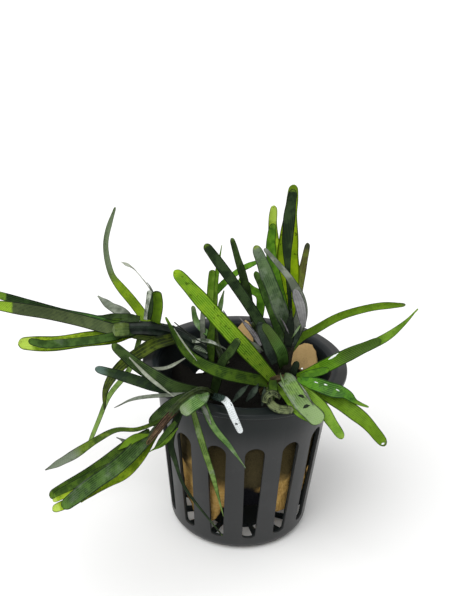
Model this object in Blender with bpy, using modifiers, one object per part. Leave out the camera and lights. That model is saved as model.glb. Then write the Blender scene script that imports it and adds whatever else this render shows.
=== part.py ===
"""Potted eichhornia diversifolia: a net pot, a rock wool plug and six leafy shoots.

Metres, +Z up. The origin is the centre of the underside of the pot, +X points to
the right of the front view and -Y points to the viewer.
"""
import bpy
import bmesh
from math import cos, pi, radians, sin
from mathutils import Matrix, Vector

MM = 0.001
NAME = "potted_eichhornia_diversifolia"
TOUCH_GAP = 0.3            # left between pieces that touch, mm

# Net pot, mm
POT_HEIGHT = 48.5
RIM_RADIUS = 27.5
RIM_THICKNESS = 1.4
MOUTH_RADIUS = 22.9        # inside, just under the rim
WALL = 1.0
BASE_RADIUS = 19.3
BASE_CORNER = 3.2
FLOOR = 1.1
POT_STEPS = 48
SLOT_COUNT = 14
SLOT_FIRST = 8.8           # degrees from the front, to the right
SLOT_TOP = 35.5
SLOT_BOTTOM = 2.8
SLOT_TOP_WIDTH = 5.2
SLOT_BOTTOM_WIDTH = 3.6
FLOOR_SLOT_WIDTH = 1.8
FLOOR_SLOT_INNER = 8.5
FLOOR_SLOT_OUTER = 15.0

# Rock wool plug: (radius, height) down the side, mm
WOOL_TOP = 44.2            # height at the middle
WOOL_FOOT = 9.5
WOOL_SIDE = [(9.0, 44.0), (16.0, 43.4), (19.0, 41.6), (20.2, 36.0), (20.0, 27.0),
             (19.0, 18.0), (17.0, 12.5), (12.0, 10.5)]
WOOL_STEPS = 20
WOOL_DENT = 1.5
WOOL_LUMPS = [((14.0, 10.0), 5.5), ((2.0, 18.0), 4.0)]   # where it stands higher: place, rise
WOOL_LUMP_REACH = 9.0
WOOL_RIM = 41.0            # lumps rise from above this height

# Leaf blades, mm
LEAF_THICKNESS = 0.4
LEAF_STATIONS = 9
LEAF_CLOSING = 1.35        # how much the stations close up towards the tip
LEAF_GUTTER = 0.10         # depth of the fold along the middle, in widths
LEAF_FACING = Vector((0.0, -0.80, 0.60))   # the way that an unturned blade faces

# Stems, mm
STEM_STATIONS = 9
STEM_TAPER = 0.25          # share of the radius lost by the end
LINE_STEPS = 60            # steps of the smooth lines that leaves follow
CURVE_STEPS = 24           # fine steps between two given points

# Outline of a blade: (place along it, share of its full width)
STRAP = [(0.0, 0.5), (0.15, 0.72), (0.4, 0.97), (0.7, 1.0), (0.86, 0.92), (0.95, 0.65), (1.0, 0.22)]
TAPER = [(0.0, 0.55), (0.2, 0.9), (0.45, 1.0), (0.7, 0.8), (0.9, 0.4), (1.0, 0.1)]
STUB = [(0.0, 0.7), (0.3, 0.95), (0.7, 1.0), (0.92, 0.9), (1.0, 0.6)]

# Colour, roughness, metallic
FINISHES = {
    "pot": ((0.060, 0.062, 0.066), 0.45, 0.0),
    "wool": ((0.36, 0.24, 0.12), 0.95, 0.0),
    "bright": ((0.17, 0.36, 0.03), 0.35, 0.0),
    "mid": ((0.07, 0.20, 0.04), 0.35, 0.0),
    "dark": ((0.015, 0.045, 0.02), 0.30, 0.0),
    "pale": ((0.30, 0.36, 0.24), 0.40, 0.0),
    "stem": ((0.045, 0.07, 0.02), 0.40, 0.0),
    "brown": ((0.10, 0.06, 0.035), 0.60, 0.0),
}

# Stems: radius, finish, and the points of the middle line from the wool outwards, mm
STEMS = {
    "left_stem": (1.7, "stem", [(-10, 8, 45.5), (-19, 10, 50), (-27, 9, 52), (-34.5, 9, 51.5)]),
    "front_left_stem": (1.1, "stem", [(-8, -13, 45), (-11, -21, 51), (-15, -29.5, 53),
                                      (-19, -35, 50.5), (-22.5, -38, 47.5)]),
    "main_stem": (1.6, "brown", [(10, -8, 45.2), (10.5, -7, 53), (11.5, -6, 60), (11.5, -5, 64.5)]),
    "front_stem": (1.2, "brown", [(5, -10, 45), (8, -13, 50.5), (13.5, -14, 51.5)]),
    "back_stem": (1.0, "stem", [(-5, 3, 45.5), (-8, 6, 50), (-9, 9, 56)]),
    "middle_stem": (1.0, "stem", [(3, 2, 45.5), (3, 4, 52), (2, 5, 58)]),
}

# Leaves: the stem, the place along it, the way on from there to the tip (mm), the full
# width (mm), the outline, the turn of the blade at its foot and tip (degrees), the finish
LEAVES = {
    # Left shoot
    "left_leaf_1": ("left_stem", 1.0, [(-40, 7.5, 55), (-50.5, 7, 57.2), (-60, 6.5, 60),
                    (-68, 6, 62.5)], 2.6, STRAP, (0, 10), "dark"),
    "left_leaf_2": ("left_stem", 0.97, [(-36.5, 6, 53.3), (-45, 5.5, 55.8), (-53, 4.5, 58),
                    (-60.5, 3, 59.8), (-67, 2, 61.2)], 3.0, STRAP, (0, -10), "mid"),
    "left_leaf_3": ("left_stem", 0.89, [(-35.5, 5, 51.3), (-42.5, 4, 50.7), (-51, 1, 50.7),
                    (-60.5, -2, 52)], 3.3, STRAP, (10, 0), "bright"),
    "left_leaf_4": ("left_stem", 0.80, [(-39, 2, 52.3), (-44.5, 0, 52.3), (-52, -3, 52.7),
                    (-57, -5, 54.5)], 2.5, STRAP, (0, 15), "dark"),
    "left_leaf_5": ("left_stem", 0.86, [(-34, 13, 54.5), (-38.5, 17, 55), (-42.5, 21, 56)], 3.1, TAPER,
                    (0, 0), "pale"),
    "left_leaf_6": ("left_stem", 0.76, [(-33.5, 14, 59), (-37.5, 16, 63), (-39, 16.5, 68.5),
                    (-39.5, 17, 75.5), (-36.5, 18, 84.5)], 2.0, TAPER, (0, 35), "mid"),
    "left_leaf_7": ("left_stem", 0.6, [(-25, 10, 54), (-24.5, 11.5, 58), (-25, 12, 62.5)], 3.0, STUB,
                    (-10, -10), "mid"),
    "left_leaf_8": ("left_stem", 0.38, [(-24.1, 1, 52.2), (-27.3, -1.5, 51.1), (-31.4, -5.5, 49.8),
                    (-34.3, -9.5, 47.9), (-35.9, -13, 45.1), (-35.8, -16, 41.2)], 3.4, TAPER, (0, 15),
                    "dark"),
    "left_leaf_9": ("left_stem", 0.78, [(-31.5, 5, 42), (-37, 3, 34.5), (-40, 1.5, 27),
                    (-43.5, -1, 18)], 1.6, STRAP, (0, 20), "bright"),
    "left_leaf_10": ("left_stem", 0.25, [(-10, 2, 53), (-4.5, -1, 52)], 1.8, TAPER, (0, 20), "dark"),
    # Front left shoot, which leans over the rim
    "front_left_leaf_1": ("front_left_stem", 0.82, [(-29.5, -37, 48), (-36.5, -39, 46.5), (-46, -42, 41)],
                          2.4, TAPER, (0, -20), "pale"),
    "front_left_leaf_2": ("front_left_stem", 0.97, [(-28.5, -42.5, 43.3), (-35, -46.5, 39.7),
                    (-41, -49.8, 35.7)], 3.6, STRAP, (-10, 10), "dark"),
    "front_left_leaf_3": ("front_left_stem", 0.95, [(-27, -39, 46), (-35.5, -42, 40), (-45, -44, 34.2)],
                    3.2, STRAP, (0, 0), "pale"),
    "front_left_leaf_4": ("front_left_stem", 0.92, [(-26.3, -40.5, 40.5), (-31.4, -43, 37.9),
                    (-37.4, -46, 34.5)], 2.6, TAPER, (15, 0), "bright"),
    "front_left_leaf_5": ("front_left_stem", 0.66, [(-19, -38.5, 51), (-21, -42, 48.5)], 3.6, STUB,
                          (0, 0), "brown"),
    "front_left_leaf_6": ("front_left_stem", 0.3, [(-10.5, -31.5, 55.3), (-12.5, -33.8, 54.8),
                    (-14.8, -35.8, 53.7)], 3.5, STUB, (0, 0), "bright"),
    "front_left_leaf_7": ("front_left_stem", 0.5, [(-18, -28.5, 51), (-22.5, -32.5, 48)], 3.0, STRAP,
                    (0, -10), "dark"),
    "front_left_leaf_8": ("front_left_stem", 0.52, [(-10, -31.5, 43), (-7, -29, 31), (-4, -26.5, 17)],
                    1.7, TAPER, (0, 20), "bright"),
    "front_left_leaf_9": ("front_left_stem", 0.34, [(-9.5, -30.5, 52), (-7, -31.5, 47), (-3, -31, 41.5),
                    (1, -29.5, 34.5)], 1.9, TAPER, (10, -10), "mid"),
    "front_left_leaf_10": ("front_left_stem", 0.6, [(-17.5, -34, 45), (-16.5, -34, 40),
                    (-13.5, -32, 29), (-4, -28, 12)], 1.1, TAPER, (0, 25), "dark"),
    "front_left_leaf_11": ("front_left_stem", 0.08, [(-4.5, -28.5, 53), (-2.5, -31, 50.2),
                    (-0.5, -31.5, 46)], 1.9, STRAP, (0, 0), "pale"),
    "front_left_leaf_12": ("front_left_stem", 0.34, [(-17.7, -23, 53.2), (-22.5, -22, 55.4),
                    (-27.6, -20.5, 58), (-33.1, -19, 62.2)], 2.6, STRAP, (0, 15), "mid"),
    "front_left_leaf_13": ("front_left_stem", 0.22, [(-21.2, -19.5, 50.8), (-26.1, -18.5, 51.5),
                    (-31.2, -17.5, 52.5), (-37.9, -16.5, 53.7)], 2.9, STRAP, (10, -15), "dark"),
    "front_left_leaf_14": ("front_left_stem", 0.44, [(-26, -24.5, 50.5), (-32.5, -22.5, 46)], 1.1,
                    TAPER, (0, 0), "pale"),
    "front_left_leaf_15": ("front_left_stem", 0.02, [(-5, -13.5, 57.5), (-2, -15.5, 63)], 2.4, STRAP,
                           (0, -15), "dark"),
    # Creeping front shoot
    "front_leaf_1": ("front_stem", 0.4, [(-5, -15.5, 53.3), (-12.5, -15, 56.3), (-17, -14, 61),
                    (-20.5, -12.5, 67)], 3.6, TAPER, (0, 20), "mid"),
    "front_leaf_2": ("front_stem", 0.5, [(-4.5, -9, 62), (-19, -5, 76.5)], 4.4, STRAP, (0, -10),
                    "bright"),
    "front_leaf_3": ("front_stem", 0.97, [(19, -12, 53.8), (26.5, -10, 57.3), (34.5, -8.5, 61)], 4.0,
                    STRAP, (0, 10), "mid"),
    "front_leaf_4": ("front_stem", 0.88, [(25.7, -5.5, 54.7), (34.3, -6.2, 60.6), (38.7, -8.5, 66),
                    (42.5, -10, 71)], 2.6, TAPER, (0, 0), "bright"),
    "front_leaf_5": ("front_stem", 0.95, [(17.5, -19, 53.3), (21, -20.7, 53), (25, -21.7, 52.5),
                    (27.5, -22, 50.5), (31, -22, 49)], 3.2, TAPER, (-10, 15), "mid"),
    "front_leaf_6": ("front_stem", 1.0, [(19, -17.5, 50.8), (25, -21.3, 48.9), (30.5, -25.5, 46.5),
                    (35.1, -28.5, 42.2)], 3.0, STRAP, (0, 0), "mid"),
    "front_leaf_7": ("front_stem", 0.78, [(18, -24, 50.7), (21.5, -29, 48.3), (24, -32, 46)], 3.0,
                    STRAP, (0, 10), "bright"),
    "front_leaf_8": ("front_stem", 0.66, [(12, -20.5, 53.3), (15, -26, 51.7), (19.3, -30.7, 49.3)], 4.2,
                    STUB, (0, -10), "pale"),
    "front_leaf_9": ("front_stem", 0.5, [(10.5, -22, 50.5), (13, -27, 49.5), (16.5, -29, 48.5)], 1.6,
                    STRAP, (0, 0), "bright"),
    "front_leaf_10": ("front_stem", 0.3, [(6.3, -21, 51.7), (6, -24, 51), (8, -26, 50),
                    (12, -27, 50.3)], 2.3, STUB, (0, 10), "pale"),
    # Main shoot
    "main_leaf_1": ("main_stem", 0.95, [(10, 0.5, 75.5), (9.6, 0.5, 81), (9.7, 0, 91), (10, 0, 98.8)],
                    4.6, STRAP, (0, 10), "bright"),
    "main_leaf_2": ("main_stem", 1.0, [(9.3, -6, 80.5), (9, -5.5, 87.8), (9.2, -5, 93.4),
                    (9.6, -5, 99.4)], 3.1, STRAP, (0, 10), "dark"),
    "main_leaf_3": ("main_stem", 0.78, [(5.5, -9.5, 75.5), (1, -9.5, 86)], 3.8, STRAP, (0, 10), "pale"),
    "main_leaf_4": ("main_stem", 0.6, [(13.3, -11.5, 68.5), (12.5, -12, 73.5), (10, -12, 78.5),
                    (6.5, -11.5, 82.5), (3.2, -11, 86)], 3.6, TAPER, (10, -10), "pale"),
    "main_leaf_5": ("main_stem", 0.7, [(6, 5, 82), (5.5, 5, 91.3)], 2.9, STRAP, (0, -10), "bright"),
    "main_leaf_6": ("main_stem", 0.82, [(5.5, -3, 80), (5.2, -3, 89.5)], 2.9, STRAP, (0, 10), "mid"),
    "main_leaf_7": ("main_stem", 0.85, [(13.7, 5, 71), (15, 6, 81)], 2.3, STRAP, (0, 0), "bright"),
    "main_leaf_8": ("main_stem", 0.55, [(5, 0, 67.5), (1.5, 2, 74)], 2.7, STRAP, (0, 20), "mid"),
    "main_leaf_9": ("main_stem", 0.4, [(-0.5, -1, 67), (-11.5, 3, 80)], 2.9, STRAP, (0, -10), "dark"),
    "main_leaf_10": ("main_stem", 0.3, [(8.5, -14, 60), (4, -12, 66)], 3.4, STRAP, (0, 15), "mid"),
    "main_leaf_11": ("main_stem", 0.5, [(14.4, 1, 55.6), (18.1, 3, 57), (23.6, 4, 60.4),
                    (28.4, 2, 63.7), (34.5, 0, 66.5), (40.6, -3, 68.6)], 2.3, STRAP, (0, 20), "bright"),
    # Back and middle shoots
    "back_leaf_1": ("back_stem", 1.0, [(-8.7, 11, 67), (-8, 12, 73), (-7.5, 12, 77)], 1.5, TAPER,
                    (0, 0), "mid"),
    "back_leaf_2": ("back_stem", 0.8, [(-10, 7, 63), (-9.7, 7, 71.7)], 2.0, STUB, (0, 15), "bright"),
    "back_leaf_3": ("back_stem", 0.9, [(-10.5, 12.5, 59.5), (-7, 12.5, 65), (-2.5, 12.5, 69.5),
                    (3, 12.5, 72.7)], 2.1, STRAP, (0, -20), "mid"),
    "back_leaf_4": ("back_stem", 0.6, [(-13.5, 12, 53), (-15, 13, 58)], 1.9, STRAP, (0, 0), "pale"),
    "middle_leaf_1": ("middle_stem", 1.0, [(-1.5, 4, 74), (-5, 4, 82.3)], 2.4, STRAP, (0, 15), "dark"),
    "middle_leaf_2": ("middle_stem", 0.8, [(3.5, 7, 64), (0.5, 8, 66.3), (-2.5, 8.5, 69)], 2.4, STRAP,
                    (0, 0), "mid"),
}


def clear_scene():
    for old in list(bpy.data.objects):
        bpy.data.objects.remove(old, do_unlink=True)


def make_collections():
    parts = bpy.data.collections.new(NAME)
    cutters = bpy.data.collections.new("cutters")
    for group in (parts, cutters):
        bpy.context.scene.collection.children.link(group)
    return parts, cutters


def make_material(name, finish):
    colour, roughness, metallic = FINISHES[finish]
    material = bpy.data.materials.new(name)
    material.use_nodes = True
    shader = material.node_tree.nodes["Principled BSDF"]
    shader.inputs["Base Color"].default_value = (*colour, 1.0)
    shader.inputs["Roughness"].default_value = roughness
    shader.inputs["Metallic"].default_value = metallic
    return material


def add_object(name, mesh, collection, finish=None):
    piece = bpy.data.objects.new(name, mesh)
    collection.objects.link(piece)
    if finish:
        mesh.materials.append(make_material(name, finish))
    return piece


def smooth(mesh, angle=40):
    mesh.shade_smooth()
    mesh.set_sharp_from_angle(angle=radians(angle))


def evaluated_mesh(piece):
    graph = bpy.context.evaluated_depsgraph_get()
    return bpy.data.meshes.new_from_object(piece.evaluated_get(graph), depsgraph=graph)


def turned(name, profile, steps, collection):
    """Screw a profile of (radius, height) points, in mm, round the Z axis."""
    mesh = bpy.data.meshes.new(name)
    points = [(radius * MM, 0.0, height * MM) for radius, height in profile]
    mesh.from_pydata(points, [(i, i + 1) for i in range(len(points) - 1)], [])
    piece = add_object(name, mesh, collection)
    screw = piece.modifiers.new("turn", "SCREW")
    screw.steps = screw.render_steps = steps
    screw.use_merge_vertices = True
    screw.merge_threshold = 0.00001
    bpy.context.view_layer.update()
    solid = evaluated_mesh(piece)
    bpy.data.objects.remove(piece)
    return solid


def arc(centre, radius, start, end, count):
    """Points of (radius, height) on an arc, angles in degrees from +radius."""
    turns = [radians(start + (end - start) * i / (count - 1)) for i in range(count)]
    return [(centre[0] + radius * cos(t), centre[1] + radius * sin(t)) for t in turns]


def pot_profile():
    wall_top = POT_HEIGHT - RIM_THICKNESS
    inner_corner = BASE_CORNER - WALL
    bottom = arc((BASE_RADIUS - BASE_CORNER, BASE_CORNER), BASE_CORNER, 0, -90, 5)
    floor = arc((BASE_RADIUS - BASE_CORNER, FLOOR + inner_corner), inner_corner, -90, 0, 4)
    return [(0.0, FLOOR)] + floor + [
        (MOUTH_RADIUS, wall_top),
        (MOUTH_RADIUS + 0.9, POT_HEIGHT),
        (RIM_RADIUS - 0.4, POT_HEIGHT),
        (RIM_RADIUS, POT_HEIGHT - 0.4),
        (RIM_RADIUS, wall_top + 0.2),
        (RIM_RADIUS - 0.4, wall_top),
        (MOUTH_RADIUS + WALL, wall_top),
    ] + bottom + [(0.0, 0.0)]


def slot_outline():
    """One wall slot seen from outside: wider at its rounded top than at its foot."""
    top_radius = SLOT_TOP_WIDTH / 2
    crown = arc((0.0, SLOT_TOP - top_radius), top_radius, 0, 180, 7)
    foot = SLOT_BOTTOM_WIDTH / 2
    return [(foot, SLOT_BOTTOM)] + crown + [(-foot, SLOT_BOTTOM)]


def floor_slot_outline():
    half = FLOOR_SLOT_WIDTH / 2
    return [(half, FLOOR_SLOT_INNER), (half, FLOOR_SLOT_OUTER),
            (-half, FLOOR_SLOT_OUTER), (-half, FLOOR_SLOT_INNER)]


def prism(outline, depth):
    """A flat outline in mm, thickened by depth each way along its local Z."""
    curve = bpy.data.curves.new("outline", "CURVE")
    curve.dimensions = "2D"
    curve.fill_mode = "BOTH"
    curve.extrude = depth * MM
    spline = curve.splines.new("POLY")
    spline.points.add(len(outline) - 1)
    for point, (x, y) in zip(spline.points, outline):
        point.co = (x * MM, y * MM, 0.0, 1.0)
    spline.use_cyclic_u = True
    guide = bpy.data.objects.new("outline", curve)
    bpy.context.scene.collection.objects.link(guide)
    bpy.context.view_layer.update()
    mesh = evaluated_mesh(guide)
    bpy.data.objects.remove(guide)
    return mesh


def make_slot_cutter(cutters):
    """All wall slots and floor slots in one cutter."""
    wall_depth = 5.0
    wall_centre = (BASE_RADIUS + MOUTH_RADIUS) / 2
    wall = prism(slot_outline(), wall_depth)
    floor = prism(floor_slot_outline(), FLOOR)
    upright = Matrix.Rotation(radians(90), 4, "X")
    bm = bmesh.new()
    for i in range(SLOT_COUNT):
        turn = Matrix.Rotation(radians(SLOT_FIRST + i * 360 / SLOT_COUNT), 4, "Z")
        outward = Matrix.Translation((0.0, -wall_centre * MM, 0.0))
        flipped = Matrix.Rotation(pi, 4, "Z")
        for mesh, place in ((wall, turn @ outward @ upright), (floor, turn @ flipped)):
            first = len(bm.verts)
            bm.from_mesh(mesh)
            bm.verts.ensure_lookup_table()
            bmesh.ops.transform(bm, matrix=place, verts=bm.verts[first:])
    bmesh.ops.remove_doubles(bm, verts=bm.verts, dist=0.00001)
    bmesh.ops.recalc_face_normals(bm, faces=bm.faces)
    mesh = bpy.data.meshes.new("slot_cutter")
    bm.to_mesh(mesh)
    bm.free()
    cutter = add_object("slot_cutter", mesh, cutters)
    cutter.hide_render = True
    cutter.display_type = "WIRE"
    return cutter


def make_pot(parts, cutters):
    mesh = turned("net_pot", pot_profile(), POT_STEPS, parts)
    pot = add_object("net_pot", mesh, parts, "pot")
    smooth(mesh)
    cut = pot.modifiers.new("slots", "BOOLEAN")
    cut.operation = "DIFFERENCE"
    cut.solver = "EXACT"
    cut.object = make_slot_cutter(cutters)
    return pot


def pot_inner_radius(height):
    """Inside radius of the pot at a height, mm."""
    low = FLOOR + BASE_CORNER - WALL
    share = (height - low) / (POT_HEIGHT - RIM_THICKNESS - low)
    return BASE_RADIUS - WALL + (MOUTH_RADIUS - BASE_RADIUS + WALL) * share


def make_wool(parts):
    """A lumpy plug that stands highest at one side and never touches the pot."""
    profile = [(0.0, WOOL_TOP)] + WOOL_SIDE + [(0.0, WOOL_FOOT)]
    mesh = turned("rock_wool", profile, WOOL_STEPS, parts)
    for vertex in mesh.vertices:
        place = vertex.co / MM
        around = Vector((place.x, place.y))
        if around.length < 0.1:
            continue
        turn = around.angle_signed(Vector((1.0, 0.0)))
        dent = WOOL_DENT * (0.5 + 0.5 * sin(3 * turn + place.z * 0.35) * cos(2 * turn - place.z * 0.2))
        radius = min(around.length, pot_inner_radius(place.z) - TOUCH_GAP)
        radius -= dent * around.length / MOUTH_RADIUS
        around = around.normalized() * radius
        rise = 0.0
        for lump, height in WOOL_LUMPS:
            near = max(0.0, 1.0 - (around - Vector(lump)).length / WOOL_LUMP_REACH)
            rise += height * near if place.z > WOOL_RIM else 0.0
        vertex.co = (around.x * MM, around.y * MM, (place.z + rise) * MM)
    smooth(mesh, 60)
    return add_object("rock_wool", mesh, parts, "wool")


def curve_through(points, count):
    """Points evenly along a smooth curve that passes through the given ones."""
    route = [Vector(point) for point in points]
    ends = [2 * route[0] - route[1]] + route + [2 * route[-1] - route[-2]]
    fine = []
    for i in range(len(route) - 1):
        a, b, c, d = ends[i:i + 4]
        for k in range(CURVE_STEPS):
            t = k / CURVE_STEPS
            fine.append(0.5 * ((2 * b) + (c - a) * t + (2 * a - 5 * b + 4 * c - d) * t * t
                               + (3 * b - a - 3 * c + d) * t ** 3))
    fine.append(route[-1])
    reach = [0.0]
    for before, after in zip(fine, fine[1:]):
        reach.append(reach[-1] + (after - before).length)
    places = []
    k = 0
    for i in range(count):
        wanted = reach[-1] * i / (count - 1)
        while k < len(reach) - 2 and reach[k + 1] < wanted:
            k += 1
        share = (wanted - reach[k]) / max(reach[k + 1] - reach[k], 1e-9)
        places.append(fine[k].lerp(fine[k + 1], min(max(share, 0.0), 1.0)))
    return places


def make_stem(name, parts):
    """A round stem: a curve with a bevel and filled caps, welded into one body."""
    radius, finish, points = STEMS[name]
    curve = bpy.data.curves.new(name, "CURVE")
    curve.dimensions = "3D"
    curve.bevel_depth = radius * MM
    curve.bevel_resolution = 2
    curve.use_fill_caps = True
    spline = curve.splines.new("POLY")
    places = curve_through(points, STEM_STATIONS)
    spline.points.add(len(places) - 1)
    for i, (point, place) in enumerate(zip(spline.points, places)):
        point.co = (*(place * MM), 1.0)
        point.radius = 1.0 - STEM_TAPER * i / (len(places) - 1)
    guide = bpy.data.objects.new(name + "_line", curve)
    parts.objects.link(guide)
    bpy.context.view_layer.update()
    mesh = evaluated_mesh(guide)
    bpy.data.objects.remove(guide)
    bm = bmesh.new()
    bm.from_mesh(mesh)
    bmesh.ops.remove_doubles(bm, verts=bm.verts, dist=0.00001)
    bmesh.ops.recalc_face_normals(bm, faces=bm.faces)
    bm.to_mesh(mesh)
    bm.free()
    mesh.materials.clear()
    smooth(mesh, 50)
    return add_object(name, mesh, parts, finish)


def leaf_foot(stem, along, onward, half_width):
    """The point just off the stem's side from which a blade sets out."""
    radius, _, points = STEMS[stem]
    line = curve_through(points, LINE_STEPS + 1)
    k = round(along * LINE_STEPS)
    here = line[k]
    run = (line[min(k + 1, LINE_STEPS)] - line[max(k - 1, 0)]).normalized()
    way = Vector(onward) - here
    aside = (way - run * way.dot(run)).normalized()
    side = way.cross(LEAF_FACING).normalized()
    clear = TOUCH_GAP + LEAF_THICKNESS / 2
    if along == 1.0:
        return here + run * clear + aside * radius * 0.4
    stand_off = radius * (1.0 - STEM_TAPER * along) + half_width * abs(side.dot(aside))
    return here + aside * (stand_off + clear)


def outline_width(outline, along):
    for (a, wa), (b, wb) in zip(outline, outline[1:]):
        if along <= b:
            return wa + (wb - wa) * (along - a) / (b - a)
    return outline[-1][1]


def make_leaf(name, parts):
    """A thin strap along a curve, folded a little along its middle."""
    stem, along, onward, width, outline, turns, finish = LEAVES[name]
    foot = leaf_foot(stem, along, onward[0], width / 2 * outline[0][1])
    line = curve_through([foot] + onward, LINE_STEPS + 1)
    bm = bmesh.new()
    bmesh.ops.create_grid(bm, x_segments=2, y_segments=LEAF_STATIONS, size=1.0)
    for vertex in bm.verts:
        across = vertex.co.x
        share = (vertex.co.y + 1.0) / 2
        share = 1.0 - (1.0 - share) ** LEAF_CLOSING
        k = min(int(share * LINE_STEPS), LINE_STEPS - 1)
        place = line[k].lerp(line[k + 1], share * LINE_STEPS - k)
        run = (line[min(k + 2, LINE_STEPS)] - line[max(k - 1, 0)]).normalized()
        side = run.cross(LEAF_FACING).normalized()
        turn = radians(turns[0] + (turns[1] - turns[0]) * share)
        side = Matrix.Rotation(turn, 3, run) @ side
        face = side.cross(run)
        half = width / 2 * outline_width(outline, share)
        gutter = LEAF_GUTTER * 2 * half * (1.0 - abs(across))
        vertex.co = (place + side * half * across - face * gutter) * MM
    mesh = bpy.data.meshes.new(name)
    bm.to_mesh(mesh)
    bm.free()
    smooth(mesh, 60)
    leaf = add_object(name, mesh, parts, finish)
    thicken = leaf.modifiers.new("thickness", "SOLIDIFY")
    thicken.thickness = LEAF_THICKNESS * MM
    thicken.offset = 0.0
    return leaf


def build():
    clear_scene()
    parts, cutters = make_collections()
    make_pot(parts, cutters)
    make_wool(parts)
    for name in STEMS:
        make_stem(name, parts)
    for name in LEAVES:
        make_leaf(name, parts)
    bpy.context.view_layer.update()


build()
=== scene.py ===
import math
import random

import bpy
from mathutils import Matrix, Vector


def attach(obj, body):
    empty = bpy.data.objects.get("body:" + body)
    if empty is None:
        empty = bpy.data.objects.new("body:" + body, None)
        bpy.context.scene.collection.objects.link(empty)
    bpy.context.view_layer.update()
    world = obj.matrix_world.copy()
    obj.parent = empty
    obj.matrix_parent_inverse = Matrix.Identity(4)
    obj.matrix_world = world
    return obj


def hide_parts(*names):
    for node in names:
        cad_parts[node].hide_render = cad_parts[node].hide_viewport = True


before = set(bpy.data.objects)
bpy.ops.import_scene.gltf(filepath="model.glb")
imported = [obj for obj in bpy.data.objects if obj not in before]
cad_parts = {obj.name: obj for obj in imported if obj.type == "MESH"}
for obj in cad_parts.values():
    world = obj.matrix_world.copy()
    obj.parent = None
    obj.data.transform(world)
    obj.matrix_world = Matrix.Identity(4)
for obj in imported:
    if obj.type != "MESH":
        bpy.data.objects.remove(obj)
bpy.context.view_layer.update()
bpy.ops.object.select_all(action="DESELECT")

mm = 0.001
facing = Vector((0.0, -0.8, 0.6))     # the way that the face of an unturned blade points


# How a finished piece joins the plant: its name, look and the CAD nodes that it stands for

def keepPiece(thing, name, look, nodes=()):
    thing.name = name
    thing.data.name = name
    thing.data.materials.clear()
    thing.data.materials.append(look)
    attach(thing, "root")
    if nodes:
        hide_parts(*nodes)
    return thing


def pieceName(node):
    words = node.split("_")
    return words[0] + "".join(word.capitalize() for word in words[1:])


def onlySelect(thing):
    bpy.ops.object.select_all(action="DESELECT")
    thing.select_set(True)
    bpy.context.view_layer.objects.active = thing


def joinInto(target, others):
    onlySelect(target)
    for thing in others:
        thing.select_set(True)
    bpy.ops.object.join()


def applyModifiers(thing):
    onlySelect(thing)
    for modifier in list(thing.modifiers):
        bpy.ops.object.modifier_apply(modifier=modifier.name)


def applyPlace(thing):
    onlySelect(thing)
    bpy.ops.object.transform_apply(location=True, rotation=True, scale=True)


# Small helpers for the node trees. A colour is given as red, green and blue

def feed(tree, socket, value):
    if isinstance(value, bpy.types.NodeSocket):
        tree.links.new(value, socket)
    elif socket.type == "RGBA":
        socket.default_value = (*value, 1.0)
    else:
        socket.default_value = value


def put(tree, kind, **values):
    node = tree.nodes.new(kind)
    for name, value in values.items():
        feed(tree, node.inputs[name.replace("_", " ")], value)
    return node


def maths(tree, operation, first, second=0.0):
    node = tree.nodes.new("ShaderNodeMath")
    node.operation = operation
    feed(tree, node.inputs[0], first)
    feed(tree, node.inputs[1], second)
    return node.outputs[0]


def times(tree, first, second):
    return maths(tree, "MULTIPLY", first, second)


def plus(tree, first, second):
    return maths(tree, "ADD", first, second)


def between(tree, value, low, high):
    node = tree.nodes.new("ShaderNodeMapRange")
    node.interpolation_type = "SMOOTHSTEP"
    feed(tree, node.inputs["Value"], value)
    feed(tree, node.inputs["From Min"], low)
    feed(tree, node.inputs["From Max"], high)
    return node.outputs["Result"]


def tint(tree, share, first, second, kind="MIX"):
    node = tree.nodes.new("ShaderNodeMix")
    node.data_type = "RGBA"
    node.blend_type = kind
    feed(tree, node.inputs[0], share)
    feed(tree, node.inputs[6], first)
    feed(tree, node.inputs[7], second)
    return node.outputs[2]


def noise(tree, where, scale, detail, roughness):
    node = put(tree, "ShaderNodeTexNoise", Vector=where, Scale=scale, Detail=detail, Roughness=roughness)
    return node.outputs["Fac"]


def onPiece(tree):
    return tree.nodes.new("ShaderNodeTexCoord").outputs["Object"]


def newMaterial(name):
    material = bpy.data.materials.new(name)
    material.use_nodes = True
    tree = material.node_tree
    return material, tree, tree.nodes["Principled BSDF"]


def finishSurface(tree, shader, colour, roughness, gloss):
    feed(tree, shader.inputs["Base Color"], colour)
    feed(tree, shader.inputs["Roughness"], roughness)
    shader.inputs["Specular IOR Level"].default_value = gloss


def bumpOn(tree, shader, height, strength, distance):
    bump = put(tree, "ShaderNodeBump", Height=height, Strength=strength, Distance=distance * mm)
    tree.links.new(bump.outputs["Normal"], shader.inputs["Normal"])


# Leaf tissue: parallel veins, the brick pattern of air cells between them, blotches and edges.
# A noise is given as scale, detail and roughness, a band as where its mask starts and where it is full

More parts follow.
